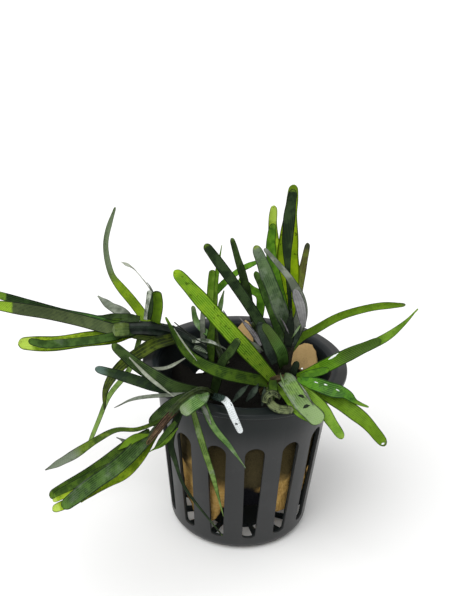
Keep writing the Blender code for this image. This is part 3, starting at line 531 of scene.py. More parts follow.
leaves = {
    # left shoot
    "left_leaf_1": (1.0, [(-40, 7.5, 55), (-50.5, 7, 57.2), (-60, 6.5, 60), (-68, 6, 62.5)],
        2.6, "band", (0, 10), "deepLeafPaleTip", "dark_leaf"),
    "left_leaf_2": (0.97, [(-36.5, 6, 53.3), (-45, 5.5, 55.8), (-53, 4.5, 58), (-60.5, 3, 59.8),
        (-67, 2, 61.2)],
        3.4, "band", (0, -10), "duskLeafPaleTip", "green_leaf"),
    "left_leaf_3": (0.89, [(-35.5, 5, 51.7), (-42.5, 4, 51.1), (-51, 1, 50.9), (-60.5, -2, 52)],
        4.3, "band", (10, 0), "yellowLeaf", "bright_leaf"),
    "left_leaf_4": (0.8, [(-39, 2, 52.3), (-44.5, 0, 52.3), (-52, -3, 52.7), (-57, -5, 54.5)],
        2.5, "band", (0, 15), "shadeLeaf", "dark_leaf"),
    "left_leaf_5": (0.86, [(-34, 13, 54.5), (-38.5, 17, 55), (-42.5, 21, 56)],
        3.1, "fang", (0, 0), "silverLeaf", "pale_leaf"),
    "left_leaf_6": (0.7, [(-29.1, 13.5, 54.6), (-32.5, 14.5, 58.7), (-36, 15.8, 62.4),
        (-37.8, 16, 65.1), (-39.1, 16.5, 70.7), (-39.1, 17, 76.1), (-36.7, 18, 84.2)],
        2.9, "kink", (0, 35), "fadingLeaf", "green_leaf"),
    "left_leaf_7": (0.6, [(-25, 10, 54), (-24.5, 11.5, 58), (-25, 12, 62.5)],
        3.0, "stub", (-10, -10), "oliveLeaf", "green_leaf"),
    "left_leaf_8": (0.38, [(-24.1, 1, 52.2), (-27.3, -1.5, 51.1), (-31.4, -5.5, 49.8),
        (-34.3, -9.5, 47.9), (-35.9, -13, 45.1), (-35.8, -16, 41.2)],
        3.8, "fang", (0, 15), "ridgedLeaf", "dark_leaf"),
    "left_leaf_9": (0.78, [(-31.5, 5, 42), (-37, 3, 34.5), (-40, 1.5, 27), (-43.5, -1, 18)],
        1.6, "ribbon", (0, 20), "softLeaf", "bright_leaf"),
    "left_leaf_10": (0.25, [(-10, 2, 53), (-4.5, -1, 52)],
        1.3, "taper", (0, 20), "tornLeaf", "dark_leaf"),
    # front left shoot, which leans over the rim
    "front_left_leaf_1": (0.82, [(-25, -38, 50), (-29.5, -39, 50.5), (-34, -40.5, 48.5),
        (-40, -42, 44.5), (-46, -43, 41)],
        2.3, "spear", (0, -20), "greyTipLeaf", "pale_leaf"),
    "front_left_leaf_2": (0.97, [(-28.5, -42.5, 43.3), (-35, -46.5, 39.7), (-41, -49.8, 35.7)],
        3.6, "band", (-10, 10), "shadeLeaf", "dark_leaf"),
    "front_left_leaf_3": (0.95, [(-27, -39, 46), (-35.5, -42, 40), (-45, -44, 34.2)],
        3.2, "band", (0, 0), "mossLeaf", "pale_leaf"),
    "front_left_leaf_4": (0.92, [(-26.3, -40.5, 40.5), (-31.4, -43, 37.9), (-37.4, -46, 34.5)],
        2.6, "taper", (15, 0), "yellowLeaf", "bright_leaf"),
    "front_left_leaf_5": (0.55, [(-18.5, -36, 51.7), (-20.5, -39, 50), (-22.5, -41, 48)],
        1.9, "long", (0, 0), "witheredLeaf", "withered_leaf"),
    "front_left_leaf_6": (0.3, [(-10.5, -31.5, 55.3), (-12.5, -33.8, 54.8), (-14.8, -35.8, 53.7)],
        3.5, "stub", (0, 0), "netLeaf", "bright_leaf"),
    "front_left_leaf_7": (0.5, [(-18, -28.5, 51), (-22.5, -32.5, 48)],
        3.0, "band", (0, -10), "pineLeaf", "dark_leaf"),
    "front_left_leaf_8": (0.52, [(-10, -31.5, 43), (-7, -29, 31), (-4, -26.5, 17)],
        1.7, "taper", (0, 20), "softLeaf", "bright_leaf"),
    "front_left_leaf_9": (0.34, [(-9.5, -30.5, 52), (-7, -31.5, 47), (-3, -31, 41.5), (1, -29.5, 34.5)],
        1.9, "taper", (10, -10), "netLeaf", "green_leaf"),
    "front_left_leaf_10": (0.6, [(-17.5, -34, 45), (-16.5, -34, 40), (-13.5, -32, 29), (-4, -28, 12)],
        2.0, "whip", (0, 25), "deepLeaf", "dark_leaf"),
    "front_left_leaf_11": (0.08, [(-4.5, -28.5, 53), (-2.5, -31, 50.2), (-0.5, -31.5, 46)],
        1.9, "band", (0, 0), "glintLeaf", "pale_leaf"),
    "front_left_leaf_12": (0.34, [(-17.7, -23, 53.2), (-22.5, -22, 55.4), (-27.6, -20.5, 58),
        (-33.1, -19, 62.2)],
        3.4, "long", (0, 15), "pineLeaf", "green_leaf"),
    "front_left_leaf_13": (0.22, [(-21.2, -19.5, 50.8), (-26.1, -18.5, 51.5), (-31.2, -17.5, 52.5),
        (-37.9, -16.5, 53.7)],
        2.9, "long", (10, -15), "glintTipLeaf", "dark_leaf"),
    "front_left_leaf_14": (0.44, [(-26, -24.5, 50.5), (-32.5, -22.5, 46)],
        1.1, "taper", (0, 0), "silverLeaf", "pale_leaf"),
    "front_left_leaf_15": (0.02, [(-6, -14, 55.5), (-4, -15.5, 59.5), (-2, -16, 63.5)],
        2.6, "band", (0, -15), "pineLeaf", "dark_leaf"),
    # creeping front shoot
    "front_leaf_1": (0.4, [(-5, -15.5, 53.3), (-12.5, -15, 56.3), (-17, -14, 61), (-20.5, -12.5, 67)],
        3.6, "fang", (0, 20), "mossLeaf", "green_leaf"),
    "front_leaf_2": (0.5, [(-4.5, -9, 62), (-19, -5, 76.5)],
        4.4, "long", (0, -10), "freshLeaf", "bright_leaf"),
    "front_leaf_3": (0.97, [(19, -12, 53.8), (26.5, -10, 57.3), (34.5, -8.5, 61)],
        3.6, "strap", (0, 10), "darkTipLeaf", "green_leaf"),
    "front_leaf_4": (0.88, [(25.9, -5.5, 54), (34.9, -6.2, 59.8), (39.3, -8.5, 65.5), (42.5, -10, 71)],
        2.6, "late", (0, 0), "lightLeaf", "bright_leaf"),
    "front_leaf_5": (0.95, [(17.5, -19, 53.3), (21, -20.7, 53), (25, -21.7, 52.5), (27.5, -22, 50.5),
        (31, -22, 49)],
        3.8, "torn", (-10, 15), "wetLeaf", "green_leaf"),
    "front_leaf_6": (1.0, [(19, -17.5, 50.8), (25, -21.3, 48.9), (30.5, -25.5, 46.5),
        (35.1, -28.5, 42.2)],
        4.0, "strap", (0, 0), "oliveLeaf", "green_leaf"),
    "front_leaf_7": (0.78, [(18, -24, 50.7), (21.5, -29, 48.3), (24, -32, 46)],
        3.4, "strap", (0, 10), "lightLeaf", "bright_leaf"),
    "front_leaf_8": (0.66, [(10.2, -20.3, 54.9), (14, -26, 52), (18.6, -30.7, 49.5)],
        4.6, "blunt", (0, -10), "paleGreenLeaf", "pale_leaf"),
    "front_leaf_9": (0.5, [(10.5, -22, 50.5), (13, -27, 49.5), (16.5, -29, 48.5)],
        1.6, "strap", (0, 0), "lightLeaf", "bright_leaf"),
    "front_leaf_10": (0.3, [(6.3, -21, 51.7), (6, -24, 51), (8, -26, 50), (12, -27, 50.3)],
        2.3, "blunt", (0, 10), "mottledLeaf", "pale_leaf"),
    # main shoot
    "main_leaf_1": (0.95, [(10, 0.5, 75.5), (9.6, 0.5, 81), (9.7, 0, 91), (10, 0, 98.8)],
        6.0, "lance", (0, 10), "speckledLeaf", "bright_leaf"),
    "main_leaf_2": (1.0, [(9.3, -6, 80.5), (9, -5.5, 87.8), (9.2, -5, 93.4), (9.6, -5, 99.4)],
        3.1, "paddle", (0, 10), "deepLeaf", "dark_leaf"),
    "main_leaf_3": (0.78, [(5.5, -9.5, 75.5), (1, -9.5, 86)],
        3.8, "long", (0, 10), "frostedLeaf", "pale_leaf"),
    "main_leaf_4": (0.6, [(13.3, -11.5, 68.5), (12.5, -12, 73.5), (10, -12, 78.5), (6.5, -11.5, 82.5),
        (3.2, -11, 86)],
        3.6, "sickle", (10, -10), "silverLeaf", "pale_leaf"),
    "main_leaf_5": (0.7, [(6, 5, 82), (5.5, 5, 91.3)],
        2.9, "long", (0, -10), "yellowLeaf", "bright_leaf"),
    "main_leaf_6": (0.82, [(5.5, -3, 80), (5.2, -3, 89.5)],
        2.9, "long", (0, 10), "greenLeaf", "green_leaf"),
    "main_leaf_7": (0.85, [(13.7, 5, 71), (15, 6, 81)],
        2.3, "strap", (0, 0), "brownEdgeLeaf", "bright_leaf"),
    "main_leaf_8": (0.55, [(5, 0, 67.5), (1.5, 2, 74)],
        2.7, "long", (0, 20), "shadeLeaf", "green_leaf"),
    "main_leaf_9": (0.4, [(-0.7, -1, 67.2), (-11.7, 3, 80.7)],
        2.9, "band", (0, -10), "deepLeaf", "dark_leaf"),
    "main_leaf_10": (0.3, [(8.5, -14, 60), (4, -12, 66)],
        3.4, "long", (0, 15), "seaLeaf", "green_leaf"),
    "main_leaf_11": (0.5, [(14.4, 1, 55.6), (18.1, 3, 57), (23.6, 4, 60.4), (28.4, 2, 63.7),
        (34.5, 0, 66.5), (40.6, -3, 68.6)],
        2.3, "ribbon", (0, 20), "oliveLeaf", "bright_leaf"),
    # back and middle shoots
    "back_leaf_1": (1.0, [(-8.7, 11, 67), (-8, 12, 73), (-7.5, 12, 77)],
        1.5, "taper", (0, 0), "lightLeaf", "green_leaf"),
    "back_leaf_2": (0.8, [(-10, 7, 63), (-9.7, 7, 71.7)],
        2.0, "stub", (0, 15), "lightLeaf", "bright_leaf"),
    "back_leaf_3": (0.9, [(-10.5, 12.5, 59.5), (-7, 12.5, 65), (-2.5, 12.5, 69.5), (3, 12.5, 72.7)],
        2.1, "ribbon", (0, -20), "greenLeaf", "green_leaf"),
    "back_leaf_4": (0.6, [(-13.5, 12, 53), (-15, 13, 58)],
        1.9, "strap", (0, 0), "netLeaf", "pale_leaf"),
    "middle_leaf_1": (1.0, [(-1.1, 4, 70.3), (-2.9, 4, 75.9), (-4.9, 4, 82.3)],
        2.3, "strap", (0, 15), "pineLeaf", "dark_leaf"),
    "middle_leaf_2": (0.8, [(3.5, 7, 64), (0.5, 8, 66.3), (-2.5, 8.5, 69)],
        2.4, "band", (0, 0), "greenLeaf", "green_leaf"),
}

blade = {
    "columns": 8,
    "rows": 26,
    "rowCrowding": 1.5,      # more than 1 sets the rows closer towards the tip
    "gutter": 0.12,          # depth of the fold along the middle, in widths
    "gutterPower": 1.4,
    "thickness": 0.24,
    "ripple": 0.05,          # height of the ripples along the edges, in widths
    "ripples": (2.0, 4.0),   # fewest and most on a blade
    "rippleTurn": 6.28,      # radians in one ripple
    "rippleGrowth": 3,       # the ripples are full from a third of the length on
    "leastWidth": 0.04,      # share of the full width
    "footReach": 0.4,        # from the stem's middle line to the leaf's, in radii
    "lineSteps": 60,
}

# Each outline: length of the round tip in widths, then places along the leaf, in lengths, each with
# its share of the full width
outlines = {
    "strap": (0.4, [(0.0, 0.62), (0.35, 1.0), (0.6, 0.97), (0.88, 0.72), (1.0, 0.6)]),
    "long": (0.4, [(0.0, 0.7), (0.3, 1.0), (0.7, 0.96), (0.9, 0.76), (1.0, 0.62)]),
    "band": (0.42, [(0.0, 0.85), (0.2, 1.0), (0.8, 0.98), (1.0, 0.8)]),
    "lance": (0.22, [(0.0, 0.5), (0.35, 1.0), (0.5, 0.93), (0.85, 0.52), (1.0, 0.4)]),
    "paddle": (0.45, [(0.0, 0.3), (0.35, 0.4), (0.68, 0.95), (0.78, 1.0), (0.92, 0.8), (1.0, 0.72)]),
    "sickle": (0.2, [(0.0, 0.8), (0.25, 1.0), (0.5, 0.85), (0.75, 0.45), (1.0, 0.3)]),
    "taper": (0.25, [(0.0, 0.7), (0.25, 1.0), (0.55, 0.85), (1.0, 0.14)]),
    "late": (0.25, [(0.0, 0.5), (0.4, 1.0), (0.65, 0.9), (1.0, 0.14)]),
    "ribbon": (0.35, [(0.0, 0.9), (0.3, 1.0), (0.85, 0.85), (1.0, 0.45)]),
    "kink": (0.25, [(0.0, 1.0), (0.35, 0.95), (0.5, 0.6), (0.85, 0.5), (1.0, 0.25)]),
    "fang": (0.25, [(0.0, 0.9), (0.35, 1.0), (0.7, 0.75), (1.0, 0.18)]),
    "spear": (0.2, [(0.0, 0.4), (0.3, 0.45), (0.55, 0.7), (0.75, 1.0), (0.88, 0.75), (1.0, 0.12)]),
    "whip": (0.25, [(0.0, 1.0), (0.2, 0.9), (0.45, 0.42), (1.0, 0.18)]),
    "torn": (0.2, [(0.0, 0.5), (0.3, 0.95), (0.55, 1.0), (0.72, 0.62), (0.85, 0.28), (1.0, 0.14)]),
    "blunt": (0.28, [(0.0, 0.62), (0.3, 0.92), (0.9, 1.0), (1.0, 0.9)]),
    "oval": (0.75, [(0.0, 0.4), (0.35, 0.9), (0.6, 1.0), (1.0, 0.85)]),
    "stub": (0.25, [(0.0, 0.85), (0.3, 1.0), (0.9, 0.98), (1.0, 0.9)]),
    "spoon": (0.3, [(0.0, 0.22), (0.6, 0.18), (0.7, 0.35), (0.85, 1.0), (1.0, 0.15)]),
    "splinter": (0.25, [(0.0, 0.3), (0.4, 1.0), (0.6, 1.0), (1.0, 0.15)]),
}


def outlineWidth(kind, share, length, width):
    roundTip, places = outlines[kind]
    for (low, before), (high, after) in zip(places, places[1:]):
        if share <= high:
            t = (share - low) / (high - low)
            size = before + (after - before) * t * t * (3 - 2 * t)
            break
    start = max(1.0 - roundTip * width / length, 0.5)
    if share > start:
        size *= math.sqrt(max(1.0 - ((share - start) / (1.0 - start)) ** 2, 0.0))
    return max(size, blade["leastWidth"])


def leafFoot(stem, along, onward):
    radius, _, points = stems[stem][:3]
    steps = blade["lineSteps"]
    line, _ = smoothRoute(points, steps + 1)
    k = round(along * steps)
    run = (line[min(k + 1, steps)] - line[max(k - 1, 0)]).normalized()
    way = Vector(onward) - line[k]
    aside = (way - run * way.dot(run)).normalized()
    return line[k] + aside * radius * blade["footReach"]


def buildBlade(name, points, width, kind, turns, look, slot, nodes=()):
    line, length = smoothRoute(points, blade["lineSteps"] + 1)
    chance = random.Random(name)
    waves, phase, sway = chance.uniform(*blade["ripples"]), chance.uniform(0, 6), chance.uniform(-1, 1)
    bpy.ops.mesh.primitive_grid_add(x_subdivisions=blade["columns"], y_subdivisions=blade["rows"],
                                    size=2)
    leaf = bpy.context.object
    mesh = leaf.data
    flat = [(vertex.co.x, 1.0 - (1.0 - (vertex.co.y + 1.0) / 2) ** blade["rowCrowding"])
            for vertex in mesh.vertices]
    mesh.uv_layers[0].name = "blade"
    mesh.uv_layers.new(name="cells")
    for loop in mesh.loops:
        across, share = flat[loop.vertex_index]
        mesh.uv_layers["blade"].data[loop.index].uv = ((across + 1) / 2, share)
        mesh.uv_layers["cells"].data[loop.index].uv = (across * width / 2, share * length)
    for vertex, (across, share) in zip(mesh.vertices, flat):
        place, run = placeOn(line, share)
        turn = math.radians(turns[0] + (turns[1] - turns[0]) * share)
        side = Matrix.Rotation(turn, 3, run) @ run.cross(facing).normalized()
        out = side.cross(run)
        half = width / 2 * outlineWidth(kind, share, length, width)
        dip = blade["gutter"] * 2 * half * (1.0 - abs(across) ** blade["gutterPower"])
        wave = math.sin(waves * blade["rippleTurn"] * share + phase + across * sway)
        grown = min(share * blade["rippleGrowth"], 1.0)
        ripple = blade["ripple"] * width * wave * across * across * grown
        vertex.co = (place + side * half * across + out * (ripple - dip)) * mm
    thicken = leaf.modifiers.new("thickness", "SOLIDIFY")
    thicken.thickness = blade["thickness"] * mm
    thicken.offset = 0.0
    rounding = leaf.modifiers.new("rounding", "SUBSURF")
    rounding.levels = rounding.render_levels = 1
    applyModifiers(leaf)
    bpy.ops.object.shade_smooth()
    return keepPiece(leaf, name, looks[look], nodes)


def buildLeaf(node):
    along, onward, *finish = leaves[node]
    foot = leafFoot(node.split("_leaf_")[0] + "_stem", along, onward[0])
    return buildBlade(pieceName(node), [foot] + onward, *finish, [node])


for leafNode in leaves:
    buildLeaf(leafNode)
print("leaves ready")


# Small loose blades: folds, torn ends, sheaths, lobes, flecks and tangled bits in the mouth of the pot,
# and strips and specks of painted highlight and painted shade.
# Each entry: the way from foot to tip (mm), full width (mm), outline, look, record slot

looseBlades = {
    "leftSheath": ([(-31.6, 4.5, 54.4), (-33.8, 4, 54.4), (-36.1, 4, 54)],
        4.1, "stub", "sheathLeaf", "green_leaf"),
    "leftUpperBlade": ([(-29.2, 9, 55.2), (-34.7, 9, 55.5), (-40.9, 8.5, 55.9)],
        2.6, "taper", "pineLeaf", "green_leaf"),
    "tornFold": ([(-27.6, 8.6, 55.2), (-27, 9, 59.6), (-26.7, 10.8, 63.2)],
        1.5, "stub", "tornLeaf", "pale_leaf"),
    "tornFoldShade": ([(-26.7, 8.2, 55.5), (-26.1, 8.6, 59.6), (-25.9, 10.2, 62.9)],
        1.4, "taper", "deepLeaf", "dark_leaf"),
    "tornThread": ([(-26.3, 11.5, 62.5), (-28, 12, 65), (-30, 13, 67), (-32, 14, 68.5),
        (-35, 15, 69.5)],
        0.95, "spoon", "paleAndHighlightLeaf", "pale_leaf"),
    "tornShred": ([(-25.8, 11.6, 62), (-26.8, 11.8, 64), (-27.6, 12, 65)],
        0.5, "taper", "silverLeaf", "pale_leaf"),
    "mainFold": ([(14, -14.3, 66.5), (12.8, -15.5, 72.5), (11, -15, 77.2)],
        2.7, "oval", "outlinedLeaf", "pale_leaf"),
    "palePotLeaf": ([(-15, -8, 53.5), (-20.5, -10, 51), (-26, -12, 52)],
        0.9, "splinter", "paleAndHighlightLeaf", "pale_leaf"),
    # pale strips of painted highlight along the folds of two leaves
    "frontFoldLine": ([(-28.7, -21.5, 60.1), (-23.4, -23.5, 55.6), (-17.2, -25, 51.4)],
        0.9, "splinter", "paleAndHighlightLeaf", "pale_leaf"),
    "mossFoldLine": ([(-18.2, -15.5, 65.5), (-15.3, -16.5, 61.4), (-12.2, -18, 57.9)],
        0.4, "splinter", "paleAndHighlightLeaf", "pale_leaf"),
    # a strip of painted highlight along the fold of a hanging leaf
    "hangingFold": ([(-10, -31.2, 53.2), (-7.8, -33, 49)], 1.2, "taper", "silverLeaf", "pale_leaf"),
    # mouthBladeOne is painted dark for the shade in the mouth
    "mouthBladeOne": ([(7.5, -12, 54.6), (5.2, -11, 60.1), (2.9, -9, 64.9)],
        3.0, "long", "gloomLeaf", "pale_leaf"),
    "mouthBladeTwo": ([(-9.5, 7, 50.5), (-8, 9, 56.5), (-6.5, 11, 64)],
        1.9, "fang", "netLeaf", "green_leaf"),
    "mouthBladeThree": ([(-11.5, 8, 47.5), (-12, 10, 53.5), (-12, 12, 59.5)],
        1.5, "long", "silverLeaf", "pale_leaf"),
    "mouthBladeFour": ([(-9, 3, 46), (-9.5, 5, 52), (-9, 7, 57)],
        2.4, "strap", "mossLeaf", "dark_leaf"),
    "rootRibbonOne": ([(4, -6, 54.5), (-0.5, -2, 56.5), (-4, 4, 57.5), (-6.5, 10, 58.5)],
        1.3, "taper", "greyRootLeaf", "pale_leaf"),
    "rootRibbonTwo": ([(4, -4, 55.5), (1.5, 2, 56.5), (-2, 10, 56.5)],
        1.6, "taper", "greyRootLeaf", "pale_leaf"),
    "rootRibbonThree": ([(4.5, -8, 56), (0.5, -8, 59)], 1.2, "splinter", "silverLeaf", "pale_leaf"),
    "darkOvalLeaf": ([(11.5, -13.8, 50.5), (12.2, -14.5, 54), (13, -14.5, 57)],
        1.9, "band", "inkLeaf", "dark_leaf"),
    "endLobeDark": ([(-31, -41.5, 42), (-38, -43.5, 38.5), (-44, -44.7, 35)],
        1.8, "band", "mossLeaf", "dark_leaf"),
    "endLobeYellow": ([(-33, -44.5, 38), (-39, -45.5, 34.7), (-44, -46.5, 32.4)],
        2.3, "band", "yellowLeaf", "bright_leaf"),
    "endLobeSmall": ([(-37.5, -44.5, 37.3), (-44, -45.5, 34.2)],
        1.2, "band", "yellowLeaf", "bright_leaf"),
    "upperWing": ([(-22, -37.5, 48.5), (-25.5, -38.7, 48), (-29.5, -40, 45.3)],
        2.0, "splinter", "oliveLeaf", "bright_leaf"),
    "greyTipBlade": ([(-24.5, -37, 44), (-30, -37, 47)], 1.3, "taper", "silverLeaf", "pale_leaf"),
    "sheathStreakOne": ([(-17, -34.5, 53), (-20, -38.5, 50.7), (-22.3, -41.3, 48.5)],
        0.9, "splinter", "witheredLeaf", "withered_leaf"),
    "sheathStreakTwo": ([(-16, -36, 51.3), (-18.5, -38.5, 49), (-21, -41, 46.5)],
        1.6, "taper", "mossLeaf", "green_leaf"),
    "sheathSide": ([(-15.5, -36.5, 50), (-18.5, -38, 46.8), (-22, -39.5, 45)],
        1.1, "splinter", "lightLeaf", "green_leaf"),
    "underLeaf": ([(13.9, -15, 52.8), (17.7, -14.5, 53.9), (21.2, -14, 54.8)],
        2.2, "long", "greenLeaf", "dark_leaf"),
    # pale strips of painted highlight along the edge of front_leaf_8
    "stripeLong": ([(11.8, -19.3, 55.3), (14.5, -23.5, 53.8), (16.7, -27.3, 52.2)],
        0.8, "splinter", "silverLeaf", "pale_leaf"),
    "stripeShort": ([(8.5, -19.8, 56.5), (9.7, -22, 54.1)],
        0.45, "splinter", "paleGreenLeaf", "pale_leaf"),
    "hangingLeaf": ([(7, -16, 52.3), (7, -19, 51), (6.2, -21.5, 48.7)],
        2.4, "stub", "mossLeaf", "green_leaf"),
    # dim leaves painted dark for the shade in the mouth of the pot
    "mouthBitOne": ([(-3, -20, 47.5), (-1, -17.5, 49), (1, -15, 50)],
        1.5, "splinter", "gloomLeaf", "green_leaf"),
    "mouthBitTwo": ([(0.5, -20, 48), (2.3, -18, 49.7), (3.5, -16, 51)],
        1.7, "splinter", "gloomLeaf", "green_leaf"),
    "mouthBitThree": ([(4.5, -21, 47.5), (5, -18.5, 49), (5, -16.5, 50.5)],
        1.4, "splinter", "gloomLeaf", "green_leaf"),
    "bundleUnderside": ([(-18, 7, 49.5), (-25, 6.8, 50.3), (-31.5, 6.5, 51.3)],
        1.9, "long", "ridgedLeaf", "dark_leaf"),
    "webThread": ([(-19.4, 3, 57.8), (-16.3, 0, 56.8), (-12.9, -4, 56.4), (-8.3, -8, 56.7)],
        0.4, "taper", "inkLeaf", "dark_leaf"),
    "curledEnd": ([(8.9, -24, 51.8), (6.9, -24.7, 53.6), (5.2, -25.2, 52.7), (5, -25, 50.8)],
        1.8, "blunt", "mottledLeaf", "pale_leaf"),
    # white specks of painted highlight
    "wetSpotOne": ([(20.7, -15, 58.2), (21.8, -15, 59.1), (23, -15, 60.1)],
        0.5, "splinter", "wetSpot", "pale_leaf"),
    "wetSpotTwo": ([(13.8, -17.5, 56.6), (14.3, -17.5, 56.8)],
        0.35, "splinter", "wetSpot", "pale_leaf"),
    "wetSpotThree": ([(33.9, -29.4, 43.1), (34.6, -29.4, 43.5)],
        0.45, "splinter", "wetSpot", "pale_leaf"),
    "webPatch": ([(-13.5, -7, 55.9), (-11.9, -8, 55.9), (-10, -9, 55.3)],
        1.3, "fang", "tornLeaf", "pale_leaf"),
    # more white specks of painted highlight
    "wetSpotFive": ([(17, -21.2, 55.2), (18, -21.2, 54.9)], 0.22, "splinter", "wetSpot", "pale_leaf"),
    "wetSpotSix": ([(19.4, -21.6, 54.9), (20.3, -21.6, 54.6)],
        0.28, "splinter", "wetSpot", "pale_leaf"),
    "knotOne": ([(10.5, -12.5, 59.7), (10.6, -13, 65.1), (10.7, -13, 70.9)],
        2.6, "taper", "inkLeaf", "dark_leaf"),
    "knotTwo": ([(12, -12.5, 60), (12.5, -13, 63.5), (13.2, -13.2, 67)],
        1.3, "splinter", "gloomLeaf", "dark_leaf"),
    "knotFleck": ([(11.3, -13.2, 62.9), (12.4, -13.6, 65.4), (13.5, -13.6, 67.5)],
        0.6, "splinter", "paleGreenLeaf", "pale_leaf"),
    "knotHusk": ([(10.5, -13.4, 64.1), (9.3, -13.6, 66.7), (8.2, -13.4, 68.5)],
        0.5, "splinter", "greyRootLeaf", "pale_leaf"),
    "leftMiddleBlade": ([(-30.2, 8.6, 53.9), (-34.6, 8.3, 54.5), (-39.2, 8, 55)],
        2.3, "taper", "mossLeaf", "green_leaf"),
    # another white speck of painted highlight
    "wetSpotSeven": ([(22.4, -22.3, 54), (23.3, -22.3, 53.5)],
        0.22, "splinter", "wetSpot", "pale_leaf"),
    # holeOne and holeTwo: dark patches painted where holes in a leaf show the shade behind it
    "holeOne": ([(12.8, -27.6, 54.9), (13.7, -27.8, 54.9), (14.4, -28, 54.5)],
        0.7, "splinter", "inkLeaf", "dark_leaf"),
    "holeTwo": ([(14, -30.4, 53.1), (14.7, -30.4, 53.7), (15.6, -30.2, 53.8)],
        0.8, "splinter", "inkLeaf", "dark_leaf"),
}

for bladeName, (way, fullWidth, kindName, lookName, slotName) in looseBlades.items():
    buildBlade(bladeName, way, fullWidth, kindName, (0, 0), lookName, slotName)
print("loose blades ready")


# Net pot, in mm and degrees

pot = {
    "steps": 140,
    "height": 48.5, "rim": 27.5, "rimThickness": 1.4, "mouth": 22.9, "wall": 1.0,
    "base": 19.3, "corner": 3.2, "floor": 1.1,
    "neckRound": 0.8,         # where the wall turns out into the rim
    "rimRound": 0.45,
    "rimUnderside": 0.95,     # centre of the rim's lower rounding, below the top
    "slots": 14, "firstSlot": 8.8,
    "slotTop": 35.5, "slotBottom": 2.8, "slotWide": 5.2, "slotNarrow": 3.6,
    "slotSides": 40,
    "slotFootHeight": 0.35,   # height of a slot's lower end against a half circle
    "slotDepth": 10.0,        # of the cutter, through the wall
    "floorSlot": (6.0, 3.3, 9.0, 17.8),     # width at the wall and at the middle, inner and outer end
    "floorCut": 4.4,          # height of the floor's cutter
    "smoothAngle": 35,
}

plastic = {
    "cloud": (60.0, 3.0, 0.6),
    "grain": (2600.0, 2.0, 0.5),
    "film": (240.0, 5.0, 0.65),
    "dark": (0.0245, 0.0265, 0.0265),
    "light": (0.0375, 0.0375, 0.0385),
    "filmBand": (0.52, 0.8),
    "filmShare": 0.3,
    "filmColour": (0.06, 0.06, 0.06),
    # painted shade on the upper front of the wall, the darker reflection of the plants above it
    "nearBand": (-0.004, -0.016),    # Y in metres, towards the front
    "upperBand": (0.034, 0.042),     # height in metres
    "upperShare": 0.9,
    "upperShadeColour": (0.005, 0.008, 0.008),
    # painted shade inside the pot, also on the cut faces of the slots
    "insideInset": 0.3,              # mm from the middle of the wall
    "insideShadeColour": (0.008, 0.012, 0.012),
    "insideDull": 0.4,
    # painted shade on the inner edge of the rim's top
    "bevelBand": (2.3, 1.6),         # mm outside the mouth
    "bevelHeight": (0.047, 0.0473),
    "bevelShadeColour": (0.006, 0.009, 0.011),
    "roughness": (0.22, 0.26),       # spread with the film, and least
    "gloss": 0.2,
    "bump": (0.15, 0.05),
}


def makePotLook():
    material, tree, shader = newMaterial("potPlastic")
    where = onPiece(tree)
    cloud = noise(tree, where, *plastic["cloud"])
    grain = noise(tree, where, *plastic["grain"])
    film = noise(tree, where, *plastic["film"])
    place = put(tree, "ShaderNodeSeparateXYZ", Vector=where).outputs
    flat = put(tree, "ShaderNodeVectorMath", Vector=where)
    flat.operation = "MULTIPLY"
    flat.inputs[1].default_value = (1, 1, 0)
    span = put(tree, "ShaderNodeVectorMath", Vector=flat.outputs["Vector"])
    span.operation = "LENGTH"
    radius = span.outputs["Value"]

    # within: where the painted shade inside the pot goes
    lean = (pot["mouth"] - pot["base"] + pot["wall"]) / (pot["height"] - pot["rimThickness"])
    middle = (pot["base"] - pot["wall"] / 2 - plastic["insideInset"]) * mm
    within = maths(tree, "LESS_THAN", radius, plus(tree, times(tree, place["Z"], lean), middle))
    # near and upper place that painted shade
    near = between(tree, place["Y"], *plastic["nearBand"])
    upper = between(tree, place["Z"], *plastic["upperBand"])
    # inner and high: where that painted shade on the rim goes
    inner = between(tree, radius, *[(pot["mouth"] + edge) * mm for edge in plastic["bevelBand"]])
    high = between(tree, place["Z"], *plastic["bevelHeight"])

    colour = tint(tree, cloud, plastic["dark"], plastic["light"])
    worn = times(tree, between(tree, film, *plastic["filmBand"]), plastic["filmShare"])
    shaded = times(tree, times(tree, upper, near), plastic["upperShare"])
    for share, paint in ((worn, "filmColour"), (shaded, "upperShadeColour"), (within, "insideShadeColour"),
                         (times(tree, inner, high), "bevelShadeColour")):
        colour = tint(tree, share, colour, plastic[paint])
    spread, least = plastic["roughness"]
    roughness = plus(tree, plus(tree, times(tree, film, spread), least),
                     times(tree, within, plastic["insideDull"]))
    finishSurface(tree, shader, colour, roughness, plastic["gloss"])
    bumpOn(tree, shader, grain, *plastic["bump"])
    return material


def raiseRings(rings, steps):
    (radius, height), rest = rings[0], rings[1:]
    bpy.ops.mesh.primitive_circle_add(vertices=steps, radius=radius * mm, fill_type="NGON",
                                      location=(0, 0, height * mm))
    body = bpy.context.object
    applyPlace(body)
    bpy.ops.object.mode_set(mode="EDIT")
    bpy.ops.mesh.select_all(action="SELECT")
    for nextRadius, nextHeight in rest:
        grow = nextRadius / radius
        lift = (0, 0, (nextHeight - height) * mm)
        bpy.ops.mesh.extrude_region_move(TRANSFORM_OT_translate={"value": lift})
        bpy.ops.transform.resize(value=(grow, grow, 1), center_override=(0, 0, 0))
        radius, height = nextRadius, nextHeight
    bpy.ops.mesh.select_all(action="SELECT")
    bpy.ops.mesh.normals_make_consistent(inside=False)
    bpy.ops.object.mode_set(mode="OBJECT")
    return body


def cornerRings(across, up, radius, start, end, count):
    turns = [math.radians(start + (end - start) * i / (count - 1)) for i in range(count)]
    return [(across + radius * math.cos(t), up + radius * math.sin(t)) for t in turns]


